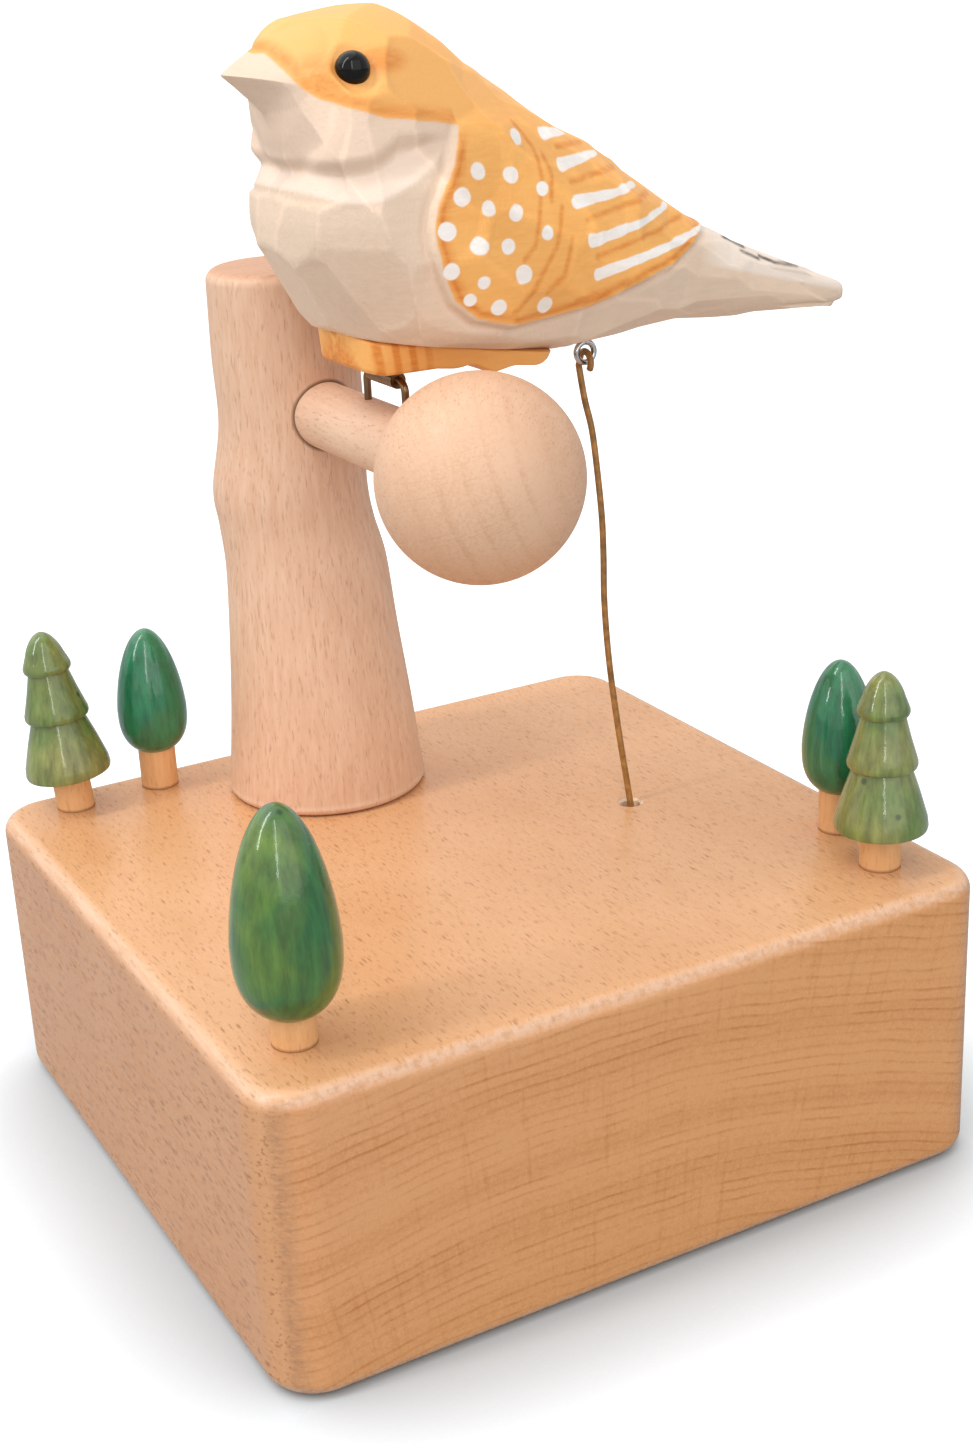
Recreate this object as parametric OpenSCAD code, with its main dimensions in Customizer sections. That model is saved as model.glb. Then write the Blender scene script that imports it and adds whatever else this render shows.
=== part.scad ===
// Wind-up music box: a carved bird rocks on a branch above a hollow beech block.
// Millimetres, +Z up. The origin is the middle of the block's underside.
// The bird faces -X and the branch points to -Y.

/* [Base block] */
// Width of the block
base_w = 114; // [104:1:140]
// Depth of the block
base_d = 110; // [104:1:140]
// Height of the block
base_h = 45; // [44:1:60]
// Radius of the four upright corners
corner_r = 7.5; // [4:0.5:12]
// Rounding of the long edges
edge_r = 2.5; // [1:0.25:3.5]
// Wall round the recess in the underside
wall_t = 9; // [6:0.5:10]
// Height of the ledge above the underside
ledge_h = 16; // [15:0.5:18]
// Corner radius of the recess and of the cavity
pocket_r = 4; // [2:0.5:5]
// Free room beside the movement in the cavity
cavity_room = 0.6; // [0.4:0.1:2]
// Free room between the movement and the top of the cavity
head_room = 1.4; // [1:0.1:4]
// Radius of the hole for the wire
wire_hole_r = 1.6; // [1.4:0.1:2.5]
// Broken edge of the wire hole
wire_chamfer = 0.5; // [0.2:0.1:1]
// Place of the wire hole along X
wire_hole_x = 29; // [27:0.5:31]
// Place of the wire hole along Y
wire_hole_y = -2.8; // [-5:0.2:0]

/* [Bottom board] */
// Thickness of the board
board_t = 4; // [3:0.5:5]
// Gap between the board and the recess
board_gap = 0.2; // [0.1:0.05:0.5]
// Radius of the board screws
board_screw_r = 1.1; // [0.8:0.1:1.5]
// Length of the board screws
board_screw_l = 12; // [9:0.5:14]

/* [Trunk and branch] */
// Place of the trunk along X
trunk_x = -6.6; // [-10:0.2:0]
// Place of the trunk along Y
trunk_y = 33.8; // [32:0.2:36]
// Height of the trunk
trunk_h = 84; // [80:0.5:92]
// Radius of the trunk's foot
trunk_foot_r = 16; // [14:0.25:18]
// Radius of the trunk's top
trunk_top_r = 11.25; // [10.5:0.25:13]
// Sideways swell half way up the trunk
trunk_wave = 2.2; // [0:0.1:3]
// Radius of the trunk screw
trunk_screw_r = 1.6; // [1.2:0.1:2]
// Length of the trunk screw
trunk_screw_l = 26; // [18:1:32]
// Height of the branch above the block
branch_z = 62.7; // [58:0.1:66]
// Radius of the branch
branch_r = 5; // [4:0.1:5.5]
// Distance from the trunk's axis to the middle of the ball
ball_reach = 58; // [54:0.5:64]
// Radius of the ball
ball_r = 14; // [12:0.25:15]
// How far the branch goes into the ball
ball_socket = 8; // [5:0.5:10]

/* [Hinge and bird] */
// Distance from the trunk's axis to the bird's middle plane
bird_reach = 31.4; // [30:0.2:33]
// Height of the hinge axis above the branch's axis
hinge_rise = 9.3; // [8.6:0.1:10]
// Radius of the staple's wire
staple_r = 0.55; // [0.4:0.05:0.7]
// Width of the staple between the middles of its legs
staple_w = 12; // [10:0.25:13]
// Bend radius of the staple
staple_bend = 1.5; // [1:0.1:2]
// Depth of the staple's legs in the branch
staple_depth = 4; // [2:0.5:5]
// Outer radius of the hinge tube
knuckle_r = 1.2; // [1:0.05:1.4]
// Length of the hinge tube
knuckle_l = 8; // [6:0.25:8.5]
// Thickness of the hinge's leaf
leaf_t = 0.6; // [0.4:0.1:0.8]
// Half width of the bird's body
bird_half_w = 16.5; // [15:0.25:17]
// Half width of the foot pad
pad_half_w = 9.5; // [8:0.25:10]
// How far the wing stands proud of the body
wing_lift = 0.9; // [0:0.1:1.2]
// Depth of the carved fold under the cheek
collar_depth = 0.9; // [0:0.1:1.2]
// Radius of the eye beads
eye_r = 2.3; // [1.6:0.1:2.5]
// Lever arm from the hinge to the screw eye under the tail
ring_arm = 32.8; // [31:0.2:34.4]
// Mean radius of the screw eye's ring
ring_r = 1.5; // [1.4:0.05:1.8]
// Radius of the screw eye's wire
ring_wire_r = 0.45; // [0.35:0.05:0.5]
// Radius of the pull wire
pull_r = 0.5; // [0.4:0.05:0.6]

/* [Trees] */
// Radius of the tree stems
stem_r = 3; // [2.5:0.1:3.4]
// Depth of a stem in the block
stem_depth = 3; // [1:0.5:4]
// Depth of a stem in its crown
crown_depth = 4; // [2:0.5:6]
// Height of a fir's tip above the block
fir_h = 30; // [26:0.5:34]
// Radius of a fir's skirt
fir_r = 6.8; // [6:0.1:8]
// Free length of a fir's stem
fir_stem = 6; // [4:0.2:8]
// Height of the front egg tree above the block
front_egg_h = 32.8; // [30:0.2:38]
// Radius of the front egg tree
front_egg_r = 7.1; // [6:0.1:8]
// Free length of the front egg tree's stem
front_egg_stem = 3.6; // [2:0.2:6]
// Height of the two small egg trees above the block
small_egg_h = 27; // [25:0.5:31]
// Radius of the two small egg trees
small_egg_r = 5.6; // [5:0.1:6.5]
// Free length of the small egg trees' stems
small_egg_stem = 5.8; // [3:0.2:7]
// Tilt of the left fir, which was glued in a little crooked
fir_lean = 4.5; // [0:0.5:6]

/* [Movement] */
// Thickness of the bedplate
plate_t = 3; // [2:0.25:3.5]
// Height of the cylinder's axis above the bedplate
axis_h = 8; // [8:0.1:8.6]
// Radius of the tune cylinder
tune_r = 6; // [5.5:0.1:6.2]
// Length of the tune cylinder
tune_l = 22; // [20:0.5:23]
// Length of the cylinder's pins
pin_l = 0.45; // [0.3:0.05:0.5]
// Radius of the cylinder's arbor
tune_arbor_r = 1.2; // [0.8:0.1:1.4]
// Radius of the winding arbor
wind_arbor_r = 2; // [1.5:0.1:2.5]
// Outer radius of the spring barrel
barrel_r = 12; // [11:0.25:12.25]
// Wall of the spring barrel
barrel_wall = 1; // [0.8:0.1:1.5]
// Thickness of the mainspring's strip
spring_t = 0.4; // [0.3:0.05:0.6]
// Turns of the mainspring
spring_turns = 6; // [4:1:8]
// Module of the crown wheel and its pinion
crown_mod = 0.6; // [0.58:0.01:0.62]
// Module of the cylinder gear and the crank pinion
train_mod = 0.4; // [0.39:0.005:0.41]
// Radius of the crank shaft
crank_shaft_r = 0.9; // [0.7:0.05:1]
// Throw of the crank
crank_throw = 2.9; // [2:0.1:3]
// Radius of the crank disc
crank_disc_r = 4.2; // [4:0.1:4.4]
// Radius of the governor's fan
fan_r = 5; // [4:0.25:5.25]
// Span of the wing key
key_span = 22; // [16:0.5:26]
// Thickness of the comb
comb_t = 1; // [0.6:0.1:1.2]

/* [Hidden] */
$fn = 48;

// Colours
beech = "#dba56e";
pale_beech = "#ecc9a2";
plywood = "#d9b98a";
bird_orange = "#f6ac55";
olive_green = "#5d7a3a";
deep_green = "#1f7a55";
mid_green = "#4c8a45";
steel = "#b9bcc0";
brass = "#c9a24e";
dark_steel = "#7c7f86";
wire_brown = "#8a6236";

// Fits: a seat is pressed or glued, a run turns or slides freely
seat_gap = 0.02;
run_gap = 0.05;
air_gap = 0.3;
eps = 0.01;

// Block
recess_w = base_w - 2 * wall_t;
recess_d = base_d - 2 * wall_t;
board_z = ledge_h - board_t;
head_ratio = 1.9;
// The trunk screw stands this far in front of the trunk's axis
trunk_screw_in = 2;

// Branch, hinge and bird: the bird is drawn with its hinge axis at its own origin
branch_axis_z = base_h + branch_z;
ball_y = trunk_y - ball_reach;
bird_y = trunk_y - bird_reach;
hinge_z = branch_axis_z + hinge_rise;
leaf_z = knuckle_r - 0.2;
pad_seat_z = leaf_z + leaf_t;
ring_drop = 1.1;
ring_x = trunk_x + ring_arm;
ring_z = hinge_z - ring_drop;

// Places of the five trees on the block, from its corners
left_fir_at = [-base_w / 2 + 11.8, base_d / 2 - 7.6];
back_egg_at = [-base_w / 2 + 26.6, base_d / 2 - 6.6];
front_egg_at = [-base_w / 2 + 10.3, -base_d / 2 + 12.8];
right_egg_at = [base_w / 2 - 7.6, -base_d / 2 + 25.8];
right_fir_at = [base_w / 2 - 10.8, -base_d / 2 + 12];

// Movement: everything follows the wire's line down to the crank
plate_z = ledge_h;
plate_top = plate_z + plate_t;
axis_z = plate_top + axis_h;
wire_slope = (base_h - axis_z) / (ring_z - base_h);
wire_eye_x = wire_hole_x + (wire_hole_x - ring_x) * wire_slope;
crank_y = wire_hole_y + (wire_hole_y - bird_y) * wire_slope;
crown_teeth = 48;
crown_pinion_teeth = 16;
gear_teeth = 36;
crank_pinion_teeth = 9;
worm_teeth = 16;
crown_r = crown_mod * crown_teeth / 2;
crown_pinion_r = crown_mod * crown_pinion_teeth / 2;
gear_r = train_mod * gear_teeth / 2;
crank_pinion_r = train_mod * crank_pinion_teeth / 2;
tune_y = crank_y + gear_r + crank_pinion_r;
pin_end_x = wire_eye_x - pull_r - air_gap;
disc_t = 1;
pin_out = 1;
disc_x = pin_end_x - pin_out - disc_t;
bracket_t = 1.4;
bracket_b_x = disc_x - air_gap - bracket_t;
worm_wheel_t = 2;
worm_wheel_x = bracket_b_x - 1 - worm_wheel_t;
gear_t = 2;
gear_x = worm_wheel_x - 1.2 - gear_t;
tune_x = gear_x - 0.8 - tune_l;
bracket_a_x = gear_x - 0.8 - bracket_t;
post_t = 2.5;
post_w = 6;
post_rise = 3;
post_a_x = tune_x - 1 - post_t;
post_b_x = worm_wheel_x;
crown_face = 1.8;
crown_pinion_x = post_a_x - 0.7 - crown_face;
wind_x = crown_pinion_x + crown_face / 2 - crown_r;
crown_pitch_z = axis_z + crown_pinion_r;
crown_tip_z = crown_pitch_z - 0.7 * crown_mod;
crown_disc_z = crown_pitch_z + 1.2 * crown_mod;
crown_disc_t = 1.4;
barrel_top = crown_disc_z - 0.6;
worm_r = 1.5;
worm_lead = 1.57;
worm_wheel_r = worm_lead * worm_teeth / (2 * PI);
worm_y = crank_y - worm_wheel_r - worm_r;
worm_x = worm_wheel_x + worm_wheel_t / 2;
worm_l = 6;
worm_shaft_r = 0.55;
fan_z = axis_z + 6;
fan_h = 3;
arm_z = fan_z + fan_h + 0.6;
arm_t = 1;
back_y = worm_y - fan_r - 0.8 - bracket_t;
comb_y = tune_y + tune_r + pin_l + 0.15;
comb_l = 20;
comb_pitch = 1.15;
comb_teeth = 18;
comb_block_y = comb_y + 11;
comb_x = tune_x + (tune_l - comb_teeth * comb_pitch) / 2;
plate_min = [wind_x - barrel_r - 1.5, back_y - 1.5];
plate_max = [disc_x + disc_t, comb_y + comb_l + 1];
plate_screw_at = [
    [plate_min[0] + 4, plate_min[1] + 4],
    [plate_min[0] + 4, plate_max[1] - 4],
    [plate_max[0] - 4, plate_max[1] - 4]
];
plate_screw_r = 1.1;
key_hub_r = 3.6;
key_gap = 0.6;
key_hub_l = 7.5;
key_lobe_r = 4;
key_t = 1.8;
key_hub_z = board_z - key_gap - key_hub_l;

// Cavity: as wide, deep and high as the movement and the head of the trunk screw need.
// The ledge that carries the board is what is left between the recess and the cavity.
movement_reach = max(crown_r + crown_face / 2 - wind_x, plate_max[0]);
screw_head_reach = trunk_y - trunk_screw_in + trunk_screw_r * head_ratio;
cavity_w = 2 * (movement_reach + cavity_room);
cavity_d = 2 * (max(plate_max[1], screw_head_reach) + cavity_room);
cavity_top = arm_z + arm_t + head_room;
top_t = base_h - cavity_top;
board_screw_x = (recess_w + cavity_w) / 4;
board_screw_y = (recess_d + cavity_d) / 4;

// Interpolation and lofting

// Eases from 0 to 1 as x goes from a to b
function ease(a, b, x) = let(t = min(1, max(0, (x - a) / (b - a)))) t * t * (3 - 2 * t);

// Smooth curve through rows of numbers, one row per knot, at knot number t
function along(rows, t) =
    let(
        last = len(rows) - 1,
        i = min(last - 1, max(0, floor(t))),
        f = t - i,
        a = rows[max(0, i - 1)],
        b = rows[i],
        c = rows[i + 1],
        d = rows[min(last, i + 2)]
    )
    b + f * (c - a) / 2
    + f * f * (a - 2.5 * b + 2 * c - 0.5 * d)
    + f * f * f * (1.5 * b - 1.5 * c + (d - a) / 2);

// Closed solid through a list of rings of equal point count
module loft(rings) {
    n = len(rings[0]);
    m = len(rings);
    sides = [
        for (i = [0 : m - 2], j = [0 : n - 1]) let(k = (j + 1) % n)
            each [[i * n + j, i * n + k, (i + 1) * n + k], [i * n + j, (i + 1) * n + k, (i + 1) * n + j]]
    ];
    foot = [for (j = [1 : n - 2]) [0, j + 1, j]];
    head = [for (j = [1 : n - 2]) let(o = (m - 1) * n) [o, o + j, o + j + 1]];
    polyhedron(points = [for (r = rings) each r], faces = concat(sides, foot, head), convexity = 6);
}

function unit(v) = v / norm(v);

// Ring of a round wire at point p with direction d
function wire_ring(p, d, r, n) =
    let(u = unit(cross(d, [0.31, 0.95, 0.02])), v = cross(unit(d), u))
    [for (j = [0 : n - 1]) p + r * (cos(360 * j / n) * u + sin(360 * j / n) * v)];

// Round wire along a list of points
module wire(path, r, n = 8) {
    last = len(path) - 1;
    loft([
        for (i = [0 : last])
            wire_ring(path[i], path[min(last, i + 1)] - path[max(0, i - 1)], r, n)
    ]);
}

// Shared shapes

// Rectangle with round corners, centred on the origin
module round_rect(w, d, r) {
    square([w, d - 2 * r], center = true);
    square([w - 2 * r, d], center = true);
    for (x = [-1, 1], y = [-1, 1])
        translate([x * (w / 2 - r), y * (d / 2 - r)]) circle(r);
}

// Outer half of the block's section: straight inside, rounded outside
module edge_profile(w) {
    square([w - edge_r, base_h]);
    translate([0, edge_r]) square([w, base_h - 2 * edge_r]);
    for (z = [edge_r, base_h - edge_r])
        translate([w - edge_r, z]) circle(edge_r);
}

// Pocket with round corners
module pocket(w, d, h, r) {
    linear_extrude(h) round_rect(w, d, r);
}

// Countersunk screw standing on its head, with a cross slot in the head
module countersunk_screw(r, l) {
    difference() {
        union() {
            cylinder(r1 = r * head_ratio, r2 = r, h = r * (head_ratio - 1));
            cylinder(r = r, h = l - r);
            translate([0, 0, l - r]) cylinder(r1 = r, r2 = 0.2 * r, h = r);
        }
        for (a = [0, 90])
            rotate(a) translate([0, 0, -eps]) cube([2 * r, 0.4 * r, r], center = true);
    }
}

// Hole that takes a countersunk screw
module countersunk_hole(r, l) {
    translate([0, 0, -eps]) cylinder(r = r * head_ratio + run_gap, h = 2 * eps);
    cylinder(r1 = r * head_ratio + run_gap, r2 = r + run_gap, h = r * (head_ratio - 1));
    cylinder(r = r + run_gap, h = l);
}

// Tooth outline of a spur wheel with slim straight teeth
function gear_points(n, m, turn = 0) = [
    for (i = [0 : n - 1], s = [[-0.2, -1.1], [-0.09, 0.75], [0.09, 0.75], [0.2, -1.1]])
        let(a = 360 * (i + s[0]) / n + turn, r = n * m / 2 + s[1] * m) r * [cos(a), sin(a)]
];

// Wheel on the X axis with its near face at x = 0
module x_wheel(n, m, t, bore, turn = 0) {
    rotate([90, 0, 90]) linear_extrude(t) difference() {
        polygon(gear_points(n, m, turn));
        circle(bore);
    }
}

// Cylinder along X from x = 0
module x_rod(r, l) {
    rotate([0, 90, 0]) cylinder(r = r, h = l);
}

// Block, board and their screws

module rounded_block() {
    ix = base_w / 2 - corner_r;
    iy = base_d / 2 - corner_r;
    for (s = [0, 180]) rotate(s) {
        translate([0, iy, 0]) rotate([90, 0, 0]) linear_extrude(2 * iy) edge_profile(base_w / 2);
        translate([-ix, iy, 0]) rotate([90, 0, 90]) linear_extrude(2 * ix) edge_profile(corner_r);
    }
    for (x = [-1, 1], y = [-1, 1]) {
        turn = x > 0 ? (y > 0 ? 0 : 270) : (y > 0 ? 90 : 180);
        translate([x * ix, y * iy, 0]) rotate(turn) rotate_extrude(angle = 90) edge_profile(corner_r);
    }
}

module at_board_screws() {
    for (x = [-1, 1], y = [-1, 1])
        translate([x * board_screw_x, y * board_screw_y, board_z]) children();
}

module at_trunk_screw() {
    translate([trunk_x, trunk_y - trunk_screw_in, cavity_top]) children();
}

module stem_socket(at, lean = 0) {
    planted(at, lean) translate([0, 0, -stem_depth]) cylinder(r = stem_r + seat_gap, h = stem_depth + 1);
}

module base_block() {
    color(beech) difference() {
        rounded_block();
        translate([0, 0, -1]) pocket(recess_w, recess_d, ledge_h + 1, pocket_r);
        translate([0, 0, ledge_h - 1]) pocket(cavity_w, cavity_d, cavity_top - ledge_h + 1, pocket_r);
        at_board_screws() cylinder(r = board_screw_r + seat_gap, h = board_screw_l + 1);
        at_trunk_screw() countersunk_hole(trunk_screw_r, top_t + 1);
        translate([wire_hole_x, wire_hole_y, cavity_top - 1])
            cylinder(r = wire_hole_r, h = top_t + 2);
        translate([wire_hole_x, wire_hole_y, base_h - wire_chamfer])
            cylinder(r1 = wire_hole_r, r2 = wire_hole_r + wire_chamfer + 0.1, h = wire_chamfer + 0.1);
        stem_socket(left_fir_at, fir_lean);
        for (at = [back_egg_at, front_egg_at, right_egg_at, right_fir_at]) stem_socket(at);
    }
}

module bottom_board() {
    color(plywood) difference() {
        translate([0, 0, board_z])
            pocket(recess_w - 2 * board_gap, recess_d - 2 * board_gap, board_t, pocket_r - board_gap);
        at_board_screws() countersunk_hole(board_screw_r, board_t + 1);
        at_plate_screws() countersunk_hole(plate_screw_r, board_t + 1);
        translate([wind_x, tune_y, board_z - 1]) cylinder(r = wind_arbor_r + 1, h = board_t + 2);
    }
}

module board_screws() {
    color(steel) at_board_screws() countersunk_screw(board_screw_r, board_screw_l);
}

// Trunk, branch and ball

// The trunk's wave leans to the left as seen from the front corner
trunk_lean = [-0.88, 0.47];

// Stations up the trunk: share of the height, share of the taper, share of the wave
trunk_rows = [
    [0, 1, 0], [0.16, 0.72, 0], [0.32, 0.46, 0.15], [0.45, 0.3, 0.3], [0.53, 0.18, 0.75],
    [0.6, 0.16, 1], [0.72, 0, 0.55], [0.85, 0, 0.6], [1, 0, 0.5]
];
trunk_round = 1.8;

function trunk_ring(row, inset) =
    let(
        r = trunk_top_r + row[1] * (trunk_foot_r - trunk_top_r) - inset,
        c = [trunk_x, trunk_y] + row[2] * trunk_wave * trunk_lean
    )
    [for (j = [0 : 39]) [c[0] + r * cos(9 * j), c[1] + r * sin(9 * j), base_h + row[0] * trunk_h]];

module trunk() {
    knots = len(trunk_rows) - 1;
    round_share = trunk_round / trunk_h;
    color(pale_beech) difference() {
        loft(concat(
            [for (i = [0 : 2 * knots - 1]) trunk_ring(along(trunk_rows, i / 2), 0)],
            [for (a = [0 : 30 : 90])
                let(row = trunk_rows[knots])
                trunk_ring([1 - round_share * (1 - sin(a)), row[1], row[2]], trunk_round * (1 - cos(a)))]
        ));
        translate([trunk_x, trunk_y, branch_axis_z]) rotate([90, 0, 0])
            cylinder(r = branch_r + seat_gap, h = 2 * trunk_foot_r);
        translate([trunk_x, trunk_y - trunk_screw_in, base_h - 1])
            cylinder(r = trunk_screw_r + seat_gap, h = trunk_screw_l - top_t + 2);
    }
}

module trunk_screw() {
    color(steel) at_trunk_screw() countersunk_screw(trunk_screw_r, trunk_screw_l);
}

module at_staple_legs() {
    for (s = [-1, 1])
        translate([trunk_x, bird_y + s * staple_w / 2, 0]) children();
}

module branch() {
    end_y = ball_y + ball_r - ball_socket;
    color(pale_beech) difference() {
        translate([trunk_x, trunk_y, branch_axis_z]) rotate([90, 0, 0])
            cylinder(r = branch_r, h = trunk_y - end_y);
        at_staple_legs() translate([0, 0, branch_axis_z + branch_r - staple_depth])
            cylinder(r = staple_r + seat_gap, h = staple_depth + 1);
    }
}

// The ball is turned as one profile: half a disc with the branch's socket in its end
module perch_ball() {
    color(pale_beech) translate([trunk_x, ball_y, branch_axis_z]) rotate([-90, 0, 0]) rotate_extrude()
        difference() {
            circle(ball_r, $fn = 96);
            translate([-ball_r - 1, -ball_r - 1]) square([ball_r + 1, 2 * ball_r + 2]);
            translate([-1, ball_r - ball_socket]) square([1 + branch_r + seat_gap, ball_socket + 1]);
        }
}

// Hinge

module perch_staple() {
    foot_z = branch_axis_z + branch_r - staple_depth;
    bar = staple_w - 2 * staple_bend;
    color(steel) {
        at_staple_legs() translate([0, 0, foot_z])
            cylinder(r = staple_r, h = hinge_z - staple_bend - foot_z);
        for (s = [0, 1])
            translate([trunk_x, bird_y, hinge_z - staple_bend]) rotate(s * 180)
                translate([0, bar / 2, 0]) rotate([0, -90, 0]) rotate_extrude(angle = 90)
                    translate([staple_bend, 0]) circle(staple_r, $fn = 24);
        translate([trunk_x, bird_y + bar / 2, hinge_z]) rotate([90, 0, 0]) cylinder(r = staple_r, h = bar);
    }
}

module at_hinge() {
    translate([trunk_x, bird_y, hinge_z]) children();
}

module hinge_knuckle() {
    leaf_l = 5;
    color(steel) at_hinge() difference() {
        union() {
            rotate([90, 0, 0]) cylinder(r = knuckle_r, h = knuckle_l, center = true);
            translate([-leaf_l / 2, -knuckle_l / 2, leaf_z]) cube([leaf_l, knuckle_l, leaf_t]);
        }
        rotate([90, 0, 0]) cylinder(r = staple_r + run_gap, h = knuckle_l + 1, center = true);
    }
}

// Bird: each row is one carved station from the beak to the tail.
// Upper edge along and up, lower edge along and up, share of the half width,
// squareness of the section and how much it narrows upward.
bird_rows = [
    [-20.6, 42, -20.6, 41.6, 0.02, 1.5, 0],
    [-18, 43.7, -17.9, 39.1, 0.16, 1.5, 0],
    [-15.1, 45.4, -15, 36.2, 0.36, 1.35, 0],
    [-12.8, 46.8, -14.2, 33, 0.53, 1.05, 0.05],
    [-9.8, 48.1, -13.4, 30.2, 0.67, 0.95, 0.1],
    [-6, 48.9, -14.8, 26.5, 0.79, 0.95, 0.14],
    [-1.5, 49.2, -14.6, 20.5, 0.88, 0.92, 0.16],
    [4, 48, -12.2, 14, 0.95, 0.92, 0.18],
    [10, 45, -8, 7.8, 0.99, 0.92, 0.2],
    [16.5, 39.5, -2, 3.6, 1, 0.92, 0.2],
    [24, 34.1, 6.5, 1.6, 0.98, 0.92, 0.2],
    [32, 28.9, 17, 0.9, 0.88, 0.9, 0.18],
    [41, 22.8, 30, 0.9, 0.69, 0.85, 0.12],
    [49.5, 17.2, 42.5, 1.8, 0.52, 0.8, 0.05],
    [58.5, 12.5, 55.2, 1.7, 0.42, 0.7, 0],
    [67.5, 8.7, 66.2, 1.2, 0.37, 0.65, 0],
    [74.2, 5.9, 73.6, 0.7, 0.33, 0.65, 0],
    [77.4, 3.9, 77.1, 1.1, 0.24, 0.8, 0]
];
bird_sides = 40;
bird_steps = 3;

// Round nose of the wing, its tip at the rump, and the radius of each
wing_nose = [15, 22];
wing_nose_r = 13.6;
wing_tip = [46, 17.5];
wing_tip_r = 1.5;

// Signed distance in the side view to the wing's drop shape, negative inside
function wing_edge(p) =
    let(
        axis = wing_tip - wing_nose,
        t = min(1, max(0, (p - wing_nose) * axis / (axis * axis)))
    )
    norm(p - wing_nose - t * axis) - wing_nose_r - t * (wing_tip_r - wing_nose_r);

// Height of the fold under the cheek in the side view
function collar_line(u) = 27 + 0.03 * pow(u + 9, 2);

// How far the carving moves the side of the bird in or out at a point of the side view
function carving(u, v) =
    wing_lift * ease(0.8, -0.8, wing_edge([u, v]))
    - collar_depth * ease(7, 3, u) * exp(-pow((v - collar_line(u)) / 1.3, 2));

// Power that keeps the sign
function signed_pow(x, e) = sign(x) * pow(abs(x), e);

function bird_ring(row) =
    [for (j = [0 : bird_sides - 1])
        let(
            a = 360 * j / bird_sides,
            s = signed_pow(cos(a), row[5]),
            u = (row[0] + row[2]) / 2 + s * (row[0] - row[2]) / 2,
            v = (row[1] + row[3]) / 2 + s * (row[1] - row[3]) / 2,
            side = signed_pow(sin(a), row[5]),
            w = row[4] * bird_half_w * (1 - row[6] * s)
        )
        [u, side * (w + min(1, row[4]) * abs(sin(a)) * carving(u, v)), v]];

module bird_solid() {
    last = len(bird_rows) - 1;
    loft([for (i = [0 : last * bird_steps]) bird_ring(along(bird_rows, i / bird_steps))]);
}

// The pad's seat slopes down to the tail: its height at a distance along the bird
pad_front = -8.4;
pad_back = 24.6;
function pad_seat(u) = 5.9 - 0.18 * u;

// Underside of the pad from front to back, flat where the hinge's leaf is fixed
pad_under = [
    [pad_front, 5.2], [-6, 3.2], [-4, pad_seat_z], [4, pad_seat_z], [8.5, 1.8], [13.5, -0.4], [20, 0]
];
pad_corner_r = pad_half_w - 0.5;

eye_at = [-7.2, 42];
eye_out = 11.1;
shank_l = 5;

module at_eyes() {
    for (s = [-1, 1])
        translate([eye_at[0], s * eye_out, eye_at[1]]) children();
}

module at_ring() {
    translate([ring_arm, 0, -ring_drop]) children();
}

module bird_body() {
    color(pale_beech) at_hinge() difference() {
        bird_solid();
        rotate([90, 0, 0]) linear_extrude(2 * bird_half_w + 2, center = true)
            polygon([
                [pad_front - 8, pad_seat(pad_front - 8)],
                [pad_back + 0.1, pad_seat(pad_back + 0.1)],
                [pad_back + 0.1, -4],
                [pad_front - 8, -4]
            ]);
        at_eyes() sphere(eye_r + seat_gap);
        at_ring() cylinder(r = ring_wire_r + seat_gap, h = ring_r + shank_l + seat_gap);
    }
}

module foot_pad() {
    color(bird_orange) at_hinge() intersection() {
        rotate([90, 0, 0]) linear_extrude(2 * pad_half_w, center = true)
            polygon(concat(
                [[pad_front, pad_seat(pad_front)]],
                pad_under,
                [[pad_back, pad_seat(pad_back)]]
            ));
        translate([(pad_front + pad_back) / 2, 0, -ball_r]) linear_extrude(2 * ball_r)
            round_rect(pad_back - pad_front, 2 * pad_half_w, pad_corner_r);
    }
}

module bird_eyes() {
    color("#141414") at_hinge() at_eyes() sphere(eye_r);
}

module tail_screw_eye() {
    color(steel) at_hinge() at_ring() {
        rotate([90, 0, 0]) rotate_extrude() translate([ring_r, 0]) circle(ring_wire_r, $fn = 24);
        translate([0, 0, ring_r]) cylinder(r = ring_wire_r, h = shank_l);
    }
}

// Pull wire: hooked through the screw eye, down through the block, with an eye at the crank.
// Bends by hand on the way down: share of the drop and how far the wire strays to the right
wire_bends = [
    [0.03, -0.4], [0.1, -0.1], [0.17, 0.5], [0.27, 0.6], [0.36, 0.5], [0.44, 0.1],
    [0.53, -0.5], [0.63, -0.8], [0.73, -0.8], [0.86, -0.5], [1, 0]
];
wire_right = [0.88, -0.47, 0];
wire_top = [ring_x, bird_y, ring_z];
wire_hole = [wire_hole_x, wire_hole_y, base_h];
wire_eye = [wire_eye_x, crank_y, axis_z];
wire_eye_r = 1.7;
hook = 1.5;

module pull_wire() {
    hook_points = [
        for (a = [-40 : 20 : 180])
            wire_top + [0, -hook * cos(a), hook * sin(a) - hook + 0.1]
    ];
    drop_points = [
        for (i = [0 : 2 * (len(wire_bends) - 1)])
            let(b = along(wire_bends, i / 2))
            wire_top + b[0] * (wire_hole - wire_top) + b[1] * wire_right + [0, hook * (1 - b[0]), 0]
    ];
    eye_points = [
        for (a = [90 : 24 : 408])
            wire_eye + [0, wire_eye_r * cos(a), wire_eye_r * sin(a)]
    ];
    neck = [wire_eye + [0, 0, wire_eye_r + 3], wire_eye + [0, 0.05, wire_eye_r + 1]];
    color(wire_brown) wire(concat(hook_points, drop_points, neck, eye_points), pull_r);
}

// Trees

// Puts a tree on the block, tilted to the left as seen from the front corner
module planted(at, lean = 0) {
    translate([at[0], at[1], base_h]) rotate(a = -lean, v = [0.47, 0.88, 0]) children();
}

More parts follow.
